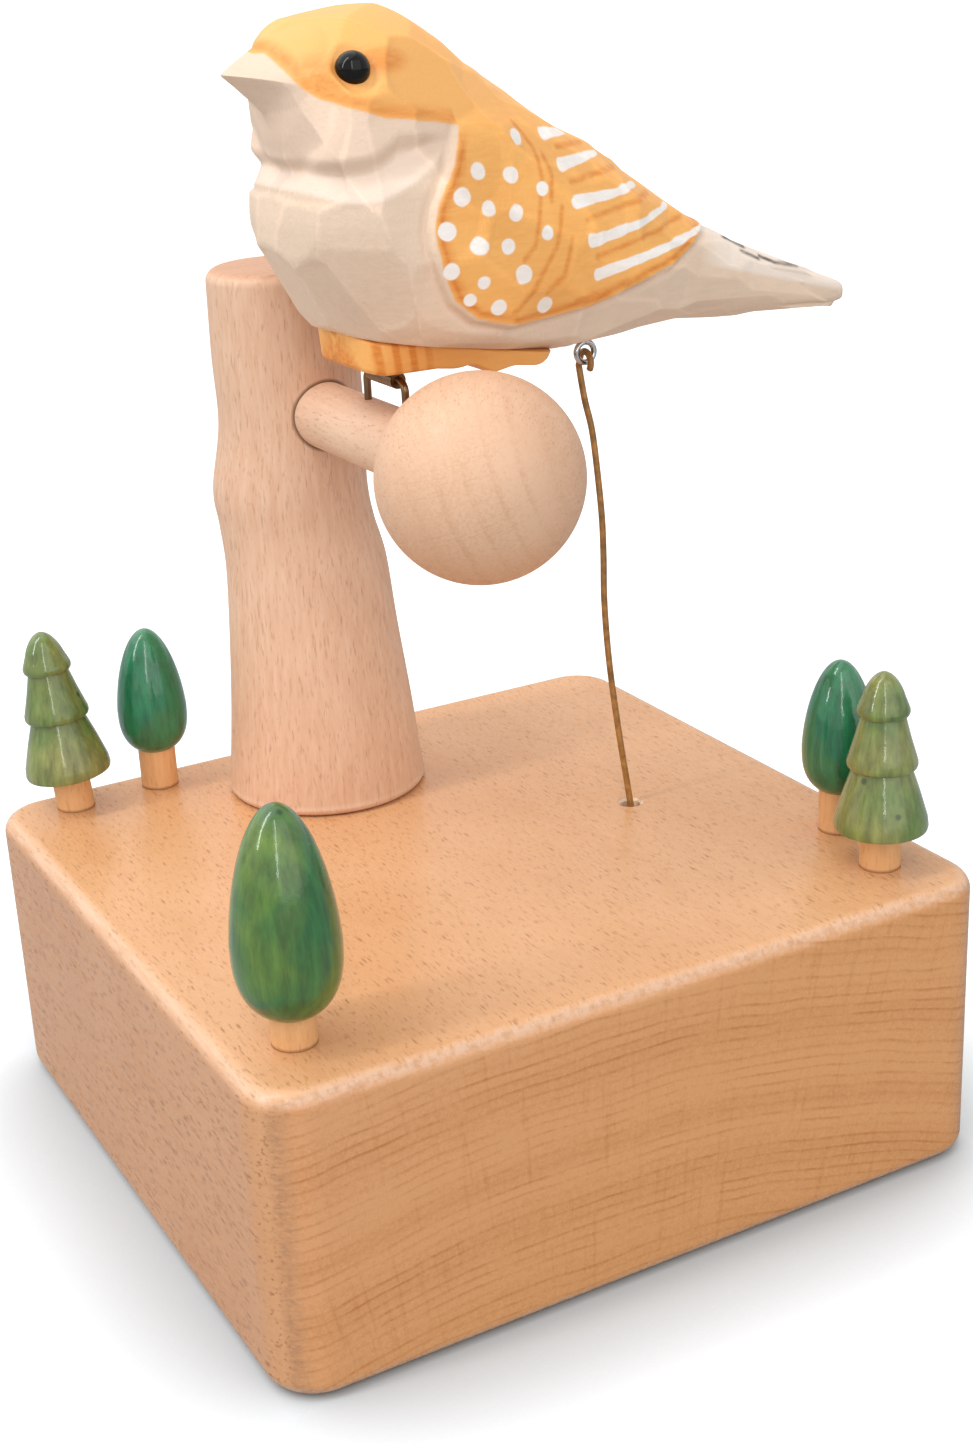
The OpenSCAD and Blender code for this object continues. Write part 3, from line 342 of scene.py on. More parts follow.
def wood(name, pale, deep, fibre, pith=(0, 0), ring=2.3, streak=0.3, fleck=0.5, fleck_size=(0.5, 1.0, 3.2),
         end=None, roughness=0.5, specular=0.5, figure=0.15, lines=0.8, dowel_shadow=None, torn_edge=0.0, foot=None,
         wear_and_painted_light=0.0, hole=None, blush=0.0):
    """Beech with its fibre along one direction.

    Year rings are the fraction of the distance to the pith, shaken a little by noise. Streaks are noise drawn out
    along the fibre. Flecks are small drawn-out cells, the cut rays that mark beech. The end grain, with its thin
    ring lines and the rays that fan out from the pith, shows where the surface faces along the fibre; blush makes
    it pinker toward one upper corner, and a torn edge is mottled where side and end grain meet. The dowel shadow
    is a painted shadow: a dark line round a dowel along Y, given by its X, Z and radius, on the side before a Y.
    A foot gives painted shade: a dark line at the height where the piece stands. The upper edges, where the
    surface turns from level to upright, are paled as rubbed edges and a painted highlight, and the X sides are
    painted a shade darker as painted shade. A hole is given by its X, Y and radius; the bare wood of its bevel is
    paler.
    """
    m, n, s = new_material(name, roughness=roughness, specular_ior_level=specular)
    co = n.add("TexCoord").outputs
    turn = Vector(fibre).rotation_difference(Vector((0, 0, 1))).to_euler()
    place = n.mapping(co["Object"], Rotation=turn, Location=(-pith[0], -pith[1], 0))
    shake = n.add("TexNoise", {"Vector": place, "Scale": 0.045, "Detail": 2.0}).outputs["Color"]
    moved = n.vector("ADD", place, n.vector("MULTIPLY", shake, (3.0, 3.0, 0.0)))
    radius = n.vector("LENGTH", n.vector("MULTIPLY", moved, (1.0, 1.0, 0.0)))
    year = n.math("DIVIDE", radius, ring)
    part = n.math("FRACT", year)
    line = n.times(n.span(part, 0.55, 0.88, smooth=True), n.span(part, 1.0, 0.9))
    # Each year grew differently: some lines are strong and some almost missing
    rings = n.times(line, n.span(n.noise_along(year, 1.7), 0.3, 0.7, 0.25, 1.0))
    # Fibre streaks about 0.8 mm wide and 7 mm long
    fibres = n.noise(n.vector("MULTIPLY", place, (1.2, 1.2, 0.14)), 1.0, 4.0, 0.6)
    both = n.math("MULTIPLY_ADD", rings, figure, n.span(fibres, 0.3, 0.7, 0.0, streak))
    clouds = n.span(n.noise(place, 0.035, 2.0), 0.3, 0.7, -0.1, 0.25)
    tone = n.mix(n.math("ADD", both, clouds, clamp=True), pale, deep)
    # Ray flecks: short uneven dashes along the fibre from drawn-out noise, and a few bolder spindles
    cell = n.vector("MULTIPLY", place, tuple(1 / v for v in fleck_size))
    thin = n.span(n.noise(cell, 1.4, 2.0, 0.55), 0.57, 0.73, 0.0, 0.8 * fleck)
    spindle = n.add("TexVoronoi", {"Vector": cell, "Scale": 0.7, "Randomness": 1.0}).outputs
    dash = n.span(spindle["Distance"], 0.3, 0.1)
    keep = n.span(n.add("SeparateColor", {0: spindle["Color"]}).outputs[0], 0.4, 1.0, 0.0, 0.8 * fleck)
    mark = n.math("MAXIMUM", thin, n.times(dash, keep))
    out = n.mix(mark, tone, colours().fleck)
    if end is not None:
        facing_out = n.math("ABSOLUTE", n.vector("DOT_PRODUCT", co["Normal"], fibre))
        is_end = n.span(facing_out, 0.5, 0.95, smooth=True)
        # Rays on the end grain run out from the pith, thin and a few millimetres apart
        x, y, _ = n.parts(place)
        angle = n.math("ARCTAN2", y, x)
        fan = n.add("CombineXYZ", {0: n.times(angle, 240.0), 1: n.times(radius, 0.06)})
        ray = n.span(n.noise(fan.outputs[0], 1.0, 1.0, 0.6), 0.56, 0.76, 0.0, 0.28)
        # Broad paler and darker bands of a few years each
        broad = n.span(n.noise_along(year, 0.22), 0.35, 0.65, -0.08, 0.2)
        # Open pores speckle the end, and the lines are strong only in patches
        pores = n.span(n.noise(place, 2.1, 3.0, 0.7), 0.3, 0.7, -0.2, 0.3)
        patches = n.span(n.noise(place, 0.16, 3.0, 0.6), 0.35, 0.65, 0.15 * lines, lines)
        ringed = n.math("MULTIPLY_ADD", rings, patches, pores)
        blot = n.math("ADD", n.math("ADD", ringed, ray), broad, clamp=True)
        # Blush: the end grain is pinker and paler toward one upper corner
        rosy = n.span(n.vector("DOT_PRODUCT", co["Object"], (-1, 0, 1.2)), 0.02, 0.115, 0.0, blush)
        end_pale = n.mix(rosy, end, scaled(end, (1.0, 1.04, 1.35)))
        end_tone = n.mix(blot, end_pale, scaled(end, (0.74, 0.6, 0.45)))
        # Where side and end grain meet, the torn fibres look greyer and mottled
        turning = n.times(is_end, n.math("SUBTRACT", 1.0, is_end))
        torn = n.noise(n.vector("MULTIPLY", place, (0.7, 2.0, 0.7)), 1.0, 3.0, 0.7)
        ragged = n.span(torn, 0.35, 0.65, 0.5 * torn_edge, 3.0 * torn_edge)
        worn = n.times(turning, ragged, clamp=True)
        out = n.mix(worn, n.mix(is_end, out, end_tone), scaled(end, (0.6, 0.66, 0.9)))
    # Painted shadow: a dark line round the dowel, on the near side, where the branch enters
    if dowel_shadow is not None:
        x, z, r, front_y = dowel_shadow
        away = n.vector("LENGTH", n.mapping(co["Object"], (1000, 0, 1000), Location=(-x, 0, -z)))
        near = n.span(n.math("SUBTRACT", away, r), 0.7, 0.1, 0.0, 0.85, smooth=True)
        front = n.math("LESS_THAN", n.parts(co["Object"])[1], front_y * MM)
        out = n.mix(n.times(near, front), out, linear("#6b4427"))
    if wear_and_painted_light:
        nx, _, nz = n.parts(co["Normal"])
        # Painted shade: surfaces that face along X are painted darker
        out = n.mix(n.times(nx, nx), out, (0.86, 0.79, 0.77), "MULTIPLY")
        # Upper edges paled: partly rubbed edges, partly a painted highlight
        level = n.times(nz, nz)
        bend = n.times(level, n.math("SUBTRACT", 1.0, level))
        rub_and_highlight = n.span(fibres, 0.35, 0.6, 0.8 * wear_and_painted_light, 3.0 * wear_and_painted_light)
        out = n.mix(n.times(bend, rub_and_highlight, clamp=True), out, linear("#efcdb4"))
    if hole is not None:
        x, y, r = hole
        reach = n.vector("LENGTH", n.mapping(co["Object"], (1000, 1000, 0), Location=(-x, -y, 0)))
        out = n.mix(n.span(reach, r + 0.25, r + 0.05), out, linear("#f0d2b2"))
    # Painted shade: a dark line just above the height where the piece stands on the block
    if foot is not None:
        low = n.span(n.parts(co["Object"])[2], (foot + 0.55) * MM, (foot + 0.1) * MM, 0.0, 0.75)
        out = n.mix(low, out, linear("#7a4a26"))
    shine = n.span(fibres, 0.3, 0.7, roughness - 0.06, roughness + 0.08)
    bump = n.bump(n.math("MULTIPLY_ADD", mark, -1.5, fibres), 0.2, 0.0001)
    n.link(s, {"Base Color": out, "Roughness": shine, "Normal": bump})
    return m


def dyed_wood(name, base, second):
    """Turned beech, dyed and varnished: two dyes that run together, faint streaks up the grain, a glossy coat."""
    m, n, s = new_material(name, roughness=0.42, specular_ior_level=0.2, coat_weight=1.0, coat_roughness=0.1)
    place = n.mapping(n.add("TexCoord").outputs["Object"])
    fibres = n.noise(n.vector("MULTIPLY", place, (0.8, 0.8, 0.12)), 1.0, 5.0, 0.62)
    hue = n.mix(n.span(n.noise(place, 0.1, 3.0, distortion=0.6), 0.36, 0.66), base, second)
    lit = n.gain(hue, n.span(fibres, 0.3, 0.72, 0.6, 1.35))
    # Pores that took more dye: a few dark dots under a millimetre across
    pores = n.add("TexVoronoi", {"Vector": place, "Scale": 0.16, "Randomness": 1.0}).outputs["Distance"]
    out = n.mix(n.span(pores, 0.1, 0.05, 0.0, 0.8), lit, scaled(base, 0.25))
    bump = n.bump(n.math("MULTIPLY_ADD", fibres, 0.5, n.noise(place, 0.6, 3.0)), 0.16, 0.00025)
    n.link(s, {"Base Color": out, "Normal": bump, "Coat Normal": bump})
    return m


def metal(name, code, roughness, grain=(0.4, 0.4, 6.0), tarnish=0.35):
    """Bare metal: fine turning or drawing marks in the roughness and a little tarnish in the colour."""
    base = linear(code)
    m, n, s = new_material(name, metallic=1.0, roughness=roughness)
    co = n.add("TexCoord").outputs["Object"]
    marks = n.noise(n.mapping(co, tuple(1000 / g for g in grain)), 1.0, 3.0)
    dull = n.span(n.noise(co, 220.0, 3.0), 0.4, 0.75, 0.0, tarnish)
    n.link(s, {"Base Color": n.mix(dull, base, scaled(base, 0.45)),
               "Roughness": n.span(marks, 0.3, 0.7, roughness * 0.75, roughness * 1.35),
               "Normal": n.bump(marks, 0.15, 0.00005)})
    return m


def bird_paint():
    """Matt poster paint on carved limewood: brushed orange, cream and white, with the wood's grain under it."""
    c = colours()
    m, n, s = new_material("Poster paint on carved limewood", roughness=0.55, coat_weight=0.08,
                           coat_roughness=0.35)
    place = n.mapping(n.add("TexCoord").outputs["Object"])
    ragged = n.noise(place, 0.4, 1.0)
    # Brush strokes about 0.6 mm wide and 8 mm long, along the bird
    brush = n.noise(n.vector("MULTIPLY", place, (0.16, 1.3, 1.3)), 1.0, 4.0, 0.6)
    blot = n.span(n.noise(place, 0.09, 3.0), 0.4, 0.72, 0.0, 0.25)
    wash = n.math("ADD", n.span(brush, 0.35, 0.72, 0.0, 0.3), blot, clamp=True)
    thin = n.span(brush, 0.25, 0.6, 0.45, 1.0)

    def mark(name):
        return n.add("Attribute", attribute_name=name).outputs["Fac"]

    def edge(name, soft, wander, most=1.0):
        """Cover from a signed distance: full inside, with a soft edge that wanders."""
        shaken = n.math("ADD", mark(name), n.span(ragged, 0.25, 0.75, -wander, wander))
        return n.span(shaken, soft, -soft, 0.0, most, smooth=True)

    stone = n.mix(wash, c.stone, scaled(c.stone, 0.8))
    cream = n.mix(wash, c.cream, scaled(c.cream, 0.87))
    ground = n.mix(edge("head_edge", 0.7, 0.3), stone, cream)
    # Painted shade from the shade mark: darker stone along the groove's upper edge and under the mouth
    ground = n.mix(n.times(mark("shade"), 0.6), ground, scaled(c.stone, 0.62))
    # Painted light from the pale mark: whiter where the groove's lower half and the tail's top face up
    ground = n.mix(n.times(mark("pale"), 0.2), ground, c.white)
    cap = n.mix(wash, c.cap, c.orange)
    wing = n.mix(n.times(wash, 0.65), c.orange, c.orange_deep)
    orange = n.mix(edge("wing_edge", 2.5, 0.5), cap, wing)
    out = n.mix(edge("orange_edge", 0.15, 0.1), ground, orange)
    out = n.mix(edge("rim_edge", 0.3, 0.2, 0.7), out, c.cream)
    out = n.mix(n.times(mark("stroke"), thin, clamp=True), out, c.orange_deep)
    out = n.mix(edge("white_edge", 0.14, 0.1), out, n.mix(wash, c.white, c.cream))
    out = n.mix(n.times(mark("grey"), thin, clamp=True), out, linear("#5f5348"))
    # Each knife cut took the paint a little differently, and the edges between cuts are rubbed paler
    out = n.gain(out, n.math("ADD", mark("cut"), 1.0))
    bump = n.bump(n.math("MULTIPLY_ADD", brush, 1.0, n.noise(place, 2.2, 3.0)), 0.3, 0.00022)
    n.link(s, {"Base Color": out, "Normal": bump})
    return m


def dress(material, *nodes):
    """Gives CAD nodes a finish."""
    for name in nodes:
        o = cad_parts[name]
        o.data.materials.clear()
        o.data.materials.append(material)


def coat(obj, material):
    """Gives a new piece its finish and the record's slot."""
    obj.data.materials.append(material)


# Stage

# Camera fitted to the block's corners: place in millimetres, yaw, pitch and roll in degrees, lens in millimetres
CAMERA_PLACE = np.array([-132.4, -258.2, 176.4])
CAMERA_TURN = (61.9, -21.22, -2.81)
SENSOR = 36
LENS = 2079.9 * SENSOR / 1447
FLOOR_HALF = 30.0
FLOOR_DROP = 0.0002
# Name, where it points, strength and width in degrees
SUN = ("Back light", (0.25, -0.42, -0.87), 1.2, 80)
# Tall soft boxes at the left and behind the camera draw the long highlights; a wide one fills the front.
# Name, place and size in metres, power in watts
SOFT_BOXES = (("Left soft box", (-0.88, 0.03, 0.92), (0.12, 1.4), 6.4),
              ("Camera soft box", (-0.55, -1.05, 0.85), (0.09, 1.3), 3.0),
              ("Front fill", (0.0, -1.5, 0.8), (2.0, 2.0), 10.0))
SOFT_BOX_AIM = np.array([0, 0, 0.08])


def put(name, data, axes, place=(0, 0, 0)):
    """Adds an object with the given axes, one per column, at a place in metres."""
    o = bpy.data.objects.new(name, data)
    o.matrix_world = Matrix([[*row, p] for row, p in zip(axes, place)] + [[0, 0, 0, 1]])
    bpy.context.scene.collection.objects.link(o)
    return o


def lamp_axes(way, level):
    """Axes of a lamp that shines along a way, with its first side square to the way and to another direction."""
    d = unit(np.array(way))
    side = unit(np.cross(d, level))
    return np.stack([side, np.cross(side, d), -d], 1)


class MUSICBOX_OT_stage(bpy.types.Operator):
    """White floor, soft studio light and the camera at the front corner"""
    bl_idname = "music_box.stage"
    bl_label = "Stage"

    def execute(self, context):
        scene = context.scene
        scene.view_settings.view_transform = "Standard"
        self.camera(scene)
        self.floor()
        self.world(scene)
        self.lamps()
        return {"FINISHED"}

    def camera(self, scene):
        cam = bpy.data.cameras.new("Camera")
        cam.lens = LENS
        cam.sensor_width = SENSOR
        cam.sensor_fit = "AUTO"
        cam.clip_start, cam.clip_end = 0.01, 100
        yaw, pitch, roll = (math.radians(v) for v in CAMERA_TURN)
        f = np.array([math.cos(pitch) * math.cos(yaw), math.cos(pitch) * math.sin(yaw), math.sin(pitch)])
        r = np.array([math.sin(yaw), -math.cos(yaw), 0])
        u = np.cross(r, f)
        side, up = math.cos(roll) * r + math.sin(roll) * u, math.cos(roll) * u - math.sin(roll) * r
        scene.camera = put("Camera", cam, np.stack([side, up, -f], 1), CAMERA_PLACE * MM)

    def floor(self):
        h = FLOOR_HALF
        mesh = bpy.data.meshes.new("Floor")
        mesh.from_pydata([(-h, -h, 0), (h, -h, 0), (h, h, 0), (-h, h, 0)], [], [(0, 1, 2, 3)])
        floor_obj = put("Floor", mesh, np.eye(3), (0, 0, -FLOOR_DROP))
        # Smooth white card: its diffuse part shows the object's real shadow; its glow to the camera is painted
        # shadow, dimmed by ambient occlusion so that it is deepest near the block
        m, n, s = new_material("White studio card", roughness=0.9, base_color=(0.4, 0.43, 0.45, 1),
                               emission_color=(1, 1, 1, 1))
        contact_shadow = n.add("AmbientOcclusion", {"Distance": 0.035}, samples=16).outputs["AO"]
        white = n.times(n.math("POWER", contact_shadow, 2.3), 0.87)
        seen = n.add("LightPath").outputs["Is Camera Ray"]
        n.link(s, {"Emission Strength": n.times(seen, white)})
        mesh.materials.append(m)

    def world(self, scene):
        """White all round; its light on matt surfaces is half as strong as what the camera and reflections see."""
        world = bpy.data.worlds.new("Studio")
        scene.world = world
        world.use_nodes = True
        n = Nodes(world.node_tree)
        path = n.add("LightPath").outputs
        seen = n.math("MAXIMUM", path["Is Camera Ray"], path["Is Transmission Ray"])
        bright = n.math("MAXIMUM", seen, path["Is Glossy Ray"])
        back = world.node_tree.nodes["Background"]
        back.inputs[0].default_value = (1, 1, 1, 1)
        n.link(back, {1: n.span(bright, 0.0, 1.0, 0.5, 1.0)})

    def lamps(self):
        name, towards, strength, angle = SUN
        lamp = bpy.data.lights.new(name, "SUN")
        lamp.energy = strength
        lamp.angle = math.radians(angle)
        put(name, lamp, lamp_axes(towards, (0, 1, 0)))
        for name, spot, size, power in SOFT_BOXES:
            lamp = bpy.data.lights.new(name, "AREA")
            lamp.shape = "RECTANGLE"
            lamp.size, lamp.size_y = size
            lamp.energy = power
            put(name, lamp, lamp_axes(SOFT_BOX_AIM - spot, (0, 0, 1)), spot)


# Block and board


class MUSICBOX_OT_block(bpy.types.Operator):
    """Oiled beech block, plywood board and their screws"""
    bl_idname = "music_box.block"
    bl_label = "Block"

    def execute(self, context):
        c, z = colours(), sizes()
        # Oiled beech: honey tone, short dark flecks along the grain, arcs of year rings on the end; painted shade
        # on the X sides, and upper edges paled by rubbing and a painted highlight
        hole = (WIRE_HOLE[0], WIRE_HOLE[1], 1.8)
        dress(wood("Oiled beech", c.beech_pale, c.beech_deep, (0, 1, 0), pith=(-14, 165), ring=z.ring / MM,
                   end=c.beech_end, roughness=0.26, specular=0.3, fleck=0.95, fleck_size=(0.5, 0.75, 2.6),
                   streak=0.25, lines=0.95, torn_edge=1.0, wear_and_painted_light=0.8, hole=hole, blush=0.6), "base_block")
        # Birch plywood: pale rotary-cut face with wide soft figure
        dress(wood("Birch plywood", linear("#e3c79c"), linear("#cfa873"), (1, 0, 0), pith=(0, -260), ring=7.0,
                   streak=0.35, fleck=0.15, roughness=0.6, figure=0.5), "bottom_board")
        # Zinc-plated steel: bluish bright plating with fine scratches
        dress(metal("Zinc-plated steel", "#b9bdc2", 0.3), "board_screws", "trunk_screw", "movement_screws")
        return {"FINISHED"}


# Trunk, branch and ball

# Share of the height, share of the taper, share of the wave
TRUNK_ROWS = [[0, 1, 0], [0.16, 0.72, 0], [0.32, 0.46, 0.15], [0.45, 0.3, 0.3], [0.53, 0.18, 0.75],
              [0.6, 0.16, 1], [0.72, 0, 0.55], [0.85, 0, 0.6], [1, 0, 0.5]]
# Edges broken with sandpaper: quarter rounds at the top and the foot
ROUND_TOP, ROUND_FOOT = 1.8, 1.2
BALL_TINT = (0.95, 0.885, 0.82)


class MUSICBOX_OT_trunk(bpy.types.Operator):
    """Turned trunk, dowel branch and ball in raw beech"""
    bl_idname = "music_box.trunk"
    bl_label = "Trunk and branch"

    def execute(self, context):
        c, z = colours(), sizes()
        lo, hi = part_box("trunk")
        foot, high = lo[2] / MM, (hi[2] - lo[2]) / MM
        k = through(TRUNK_ROWS, np.linspace(0, len(TRUNK_ROWS) - 1, 150))
        r_top, r_foot, wave = z.trunk_top / MM, z.trunk_foot / MM, z.trunk_wave / MM
        radius = r_top + k[:, 1] * (r_foot - r_top)
        height = k[:, 0] * high
        a = np.linspace(0, np.pi / 2, 10)
        inner = (height > ROUND_FOOT) & (height < high - ROUND_TOP)
        radius = np.concatenate([[r_foot - 2.0], r_foot - ROUND_FOOT * (1 - np.sin(a)), radius[inner],
                                 r_top - ROUND_TOP * (1 - np.cos(a)), [r_top - 4.0]])
        height = np.concatenate([[0.0], ROUND_FOOT * (1 - np.cos(a)), height[inner],
                                 high - ROUND_TOP * (1 - np.sin(a)), [high]])
        shift = np.interp(height / high, k[:, 0], k[:, 2]) * wave
        grid = turned(np.stack([radius, height], 1), (*TRUNK, foot), 128)
        grid = grid - shift[:, None, None] * RIGHT
        # Raw beech: pale and dry, with fine dark flecks up the grain, a painted shadow as a dark line round the
        # branch and painted shade as a dark line at the foot
        raw = wood("Raw turned beech", c.raw_pale, c.raw_deep, (0, 0, 1), pith=(-12, 70), streak=0.5, fleck=0.5,
                   roughness=0.5, fleck_size=(0.45, 0.6, 3.2), end=c.raw_deep,
                   dowel_shadow=(TRUNK[0], BRANCH_Z, 5.0, TRUNK[1]), foot=BLOCK_TOP)
        coat(piece("Trunk", grid, "base", ["trunk"], sharp=50), raw)

        lo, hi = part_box("branch")
        y = np.linspace(hi[1] / MM, lo[1] / MM, 40)
        path = np.stack([np.full(len(y), TRUNK[0]), y, np.full(len(y), BRANCH_Z)], 1)
        dowel = wood("Raw beech dowel", c.raw_pale, c.raw_deep, (0, 1, 0), pith=(30, -80), streak=0.3, fleck=0.5,
                     roughness=0.6, fleck_size=(0.35, 0.5, 2.0))
        grid = drawn(path, z.branch / MM, 64)
        coat(piece("Branch", grid, "base", ["branch"], sharp=50), dowel)

        r = z.ball / MM
        a = np.linspace(0, np.pi, 80)[1:-1]
        grid = turned(np.stack([r * np.sin(a), -r * np.cos(a)], 1), BALL, 128, axis=(0.2, 0.9, 0.4))
        # The ball's end grain faces the camera, so wide ring bands run up and down over it
        pale, dark = scaled(c.raw_pale, BALL_TINT), scaled(c.raw_deep, BALL_TINT)
        ball = wood("Raw beech ball", pale, dark, AWAY, pith=(-2.3, -143.2), ring=3.6, streak=0.3, fleck=0.45,
                    roughness=0.5, fleck_size=(0.35, 0.5, 1.8), end=pale, figure=0.2, lines=0.5)
        coat(piece("Ball", grid, "base", ["perch_ball"]), ball)
        return {"FINISHED"}


# Trees

# Name, place, radius, top and stem height in millimetres, the record's slot
EGG_TREES = (("Back egg tree", (-30.4, 48.4), (5.6, 27.0, 5.8), "deep_green_wood"),
             ("Right egg tree", (49.4, -29.2), (5.6, 27.0, 5.8), "deep_green_wood"),
             ("Front egg tree", (-46.7, -42.2), (7.1, 32.8, 3.6), "mid_green_wood"))
# Widest point of an egg tree, as a share of its height
EGG_WAIST = 0.37
# Name, place, lean in degrees
FIRS = (("Left fir", (-45.2, 47.4), 4.5), ("Right fir", (46.2, -43.0), 0.0))
FIR_RADIUS, FIR_HEIGHT, FIR_STEM = 6.8, 24.0, 6.0
# Half section of a fir's three skirts and of its tip, in shares of its radius and height
FIR_SIDE = [[0.9, 0], [0.985, 0.012], [1, 0.03], [0.98, 0.08], [0.89, 0.165], [0.8, 0.25], [0.71, 0.325],
            [0.62, 0.4], [0.7, 0.402], [0.735, 0.408], [0.75, 0.42], [0.75, 0.44], [0.675, 0.51], [0.6, 0.58],
            [0.53, 0.655], [0.46, 0.73], [0.53, 0.733], [0.55, 0.742], [0.56, 0.755], [0.555, 0.77],
            [0.5, 0.81], [0.45, 0.845]]
FIR_TIP = [[0.45, 0.845], [0.4, 0.885], [0.335, 0.92], [0.26, 0.952], [0.18, 0.975], [0.1, 0.99], [0.0, 1.0]]


class MUSICBOX_OT_trees(bpy.types.Operator):
    """Two turned firs and three turned egg trees on short beech stems"""
    bl_idname = "music_box.trees"
    bl_label = "Trees"

    def execute(self, context):
        c = colours()
        # Dyed beech under varnish: green runs into yellower green, with long highlights on the coat
        olive = dyed_wood("Olive dyed beech", c.fir, linear("#87894a"))
        dyes = {"deep_green_wood": dyed_wood("Deep green dyed beech", c.egg, linear("#2f7a50")),
                "mid_green_wood": dyed_wood("Grass green dyed beech", c.front_egg, linear("#5d7a2c"))}
        up = np.sin(np.radians(np.linspace(-88, 89.5, 110)))
        below, above = np.clip(-up, 0, 1), np.clip(up, 0, 1)
        for name, place, (r, top, stem), slot in EGG_TREES:
            low = EGG_WAIST * (top - stem)
            radius = r * np.sqrt(1 - below ** 3 - above ** 2.2) * (1 - 0.18 * above)
            height = low + up * np.where(up < 0, low, top - stem - low)
            grid = turned(np.stack([radius, height], 1), (*place, BLOCK_TOP + stem), 96)
            node = name.lower().replace(" tree", "_crown").replace(" ", "_")
            coat(piece(name.replace(" ", "_"), grid, "base", [node]), dyes[slot])
        tip = through(FIR_TIP, np.linspace(0.3, 5.97, 22))
        side = np.concatenate([FIR_SIDE, tip]) * [FIR_RADIUS, FIR_HEIGHT]
        for name, place, lean in FIRS:
            b = math.radians(lean)
            axis = np.array([0, 0, math.cos(b)]) - math.sin(b) * RIGHT
            grid = turned(side, np.array([*place, BLOCK_TOP]) + FIR_STEM * axis, 96, axis=axis)
            node = name.lower().replace(" ", "_") + "_crown"
            coat(piece(name.replace(" ", "_"), grid, "base", [node], sharp=40), olive)
        # Beech dowel stems, a shade deeper where the hand oil soaked in, with painted shade as a dark line at
        # their foot
        stems = wood("Beech stem", linear("#efbb85"), linear("#d9a067"), (0, 0, 1), pith=(9, 14), streak=0.5,
                     fleck=0.4, roughness=0.55, foot=BLOCK_TOP)
        dress(stems, *[n + "_stem" for n in ("left_fir", "back_egg", "front_egg", "right_egg", "right_fir")])
        return {"FINISHED"}


# Bird

# Stations of the carving from beak to tail: upper edge along and up, lower edge along and up,
# share of the half width, roundness of the section and how much it narrows upward
BIRD = np.array([
    [-20.6, 42, -20.6, 41.6, 0.02, 1.9, 0], [-18, 43.7, -17.9, 39.1, 0.17, 1.9, 0],
    [-15.1, 45.4, -15, 36.2, 0.37, 1.6, 0], [-12.8, 46.8, -14.2, 33, 0.53, 1.1, 0.05],
    [-9.8, 48.1, -13.4, 30.2, 0.67, 0.95, 0.1], [-6, 48.9, -14.8, 26.5, 0.79, 0.95, 0.14],
    [-1.5, 49.2, -14.6, 20.5, 0.88, 0.92, 0.16], [4, 48, -12.2, 14, 0.95, 0.92, 0.18],
    [10, 45, -8, 7.8, 0.99, 0.92, 0.2], [16.5, 39.5, -2, 3.6, 1, 0.92, 0.2],
    [24, 34.1, 6.5, 1.6, 0.98, 0.92, 0.2], [32, 28.9, 17, 0.9, 0.88, 0.9, 0.18],
    [41, 22.8, 30, 0.9, 0.69, 0.85, 0.12], [49.5, 17.2, 42.5, 1.8, 0.52, 0.8, 0.05],
    [58.5, 12.5, 55.2, 1.7, 0.42, 0.7, 0], [67.5, 8.7, 66.2, 1.2, 0.37, 0.65, 0],
    [74.2, 6.1, 73.6, 0.7, 0.33, 0.65, 0], [77.2, 4.9, 77, 0.9, 0.27, 0.7, 0]])
BIRD_HALF = 16.5
BIRD_RINGS, BIRD_AROUND = 330, 288
# Knife cuts: rows along and around the body, least distance between two, how sharply their edges meet
CUT_ROWS, CUTS_AROUND = 17, 14
CUT_SPACING = 6.3
CUT_SHARPNESS = 28
# Side view of the carving and the paint, along and up from the hinge
EYE = (-7.2, 42.0)
MOUTH = [(-20.8, 41.85), (-12, 40.2), (-14.4, 37.2), (-16.5, 35.5), (-21, 36)]
WING = [(6.3, 34.2), (4.9, 31.3), (3.8, 28.9), (2.2, 26.6), (0.9, 24.5), (0.2, 22), (0.2, 19.6), (1.3, 15.8),
        (3, 12.3), (6.4, 9.5), (12.4, 7.9), (18.5, 8.3), (25.2, 8.8), (33.3, 10.1), (41.9, 11.8), (46.1, 13.8),
        (49.7, 15.3), (54, 18), (42, 28), (30, 36), (22, 39), (16, 36.8), (11, 36)]
CAP = [(-16.4, 44.2), (-15.3, 44.2), (-14.5, 42.5), (-14, 41.1), (-13.1, 39.7), (-11.6, 38.6), (-9.6, 37.7),
       (-7.6, 37), (-4.8, 36), (-1.1, 35.5), (2, 35), (6.3, 34.2), *WING[1:17], (60, 40), (20, 60), (-20, 60),
       (-19, 46)]
# The wing was set out on its raised surface: shifts of its paint and of its carved edge
WING_SHIFT, WING_EDGE_SHIFT = np.array([1.0, 0.7]), np.array([0.5, 0.35])
# White spots, with their radius
SPOTS = [(15.9, 32.2, 1.2), (8.5, 28.8, 1.25), (13.8, 27.8, 1.2), (5.4, 26, 1.25), (9.3, 24.1, 1.1),
         (13.5, 23.1, 1.2), (18.8, 25.5, 1.1), (2.8, 22, 1.35), (7.2, 19.7, 1.25), (11.7, 19.1, 1.15),
         (18.4, 20, 1.0), (3.1, 17.1, 1.2), (7.9, 15.1, 1.0), (13.9, 15.2, 1.4), (6, 13, 1.0),
         (10.3, 11.5, 1.15), (17.6, 10.9, 1.25)]
# White bars, wide and round in front and thin at the back
BARS = [[(22, 31.8), (27.5, 31.4)], [(23.3, 27.8), (33, 28.2)], [(24.4, 23), (30.5, 23.1), (38, 23.4)],
        [(26.1, 18), (34, 18.7), (44, 20)], [(27.1, 13.4), (38, 14.5), (51.5, 16.2)]]
BAR_WIDTHS = (0.85, 0.35)
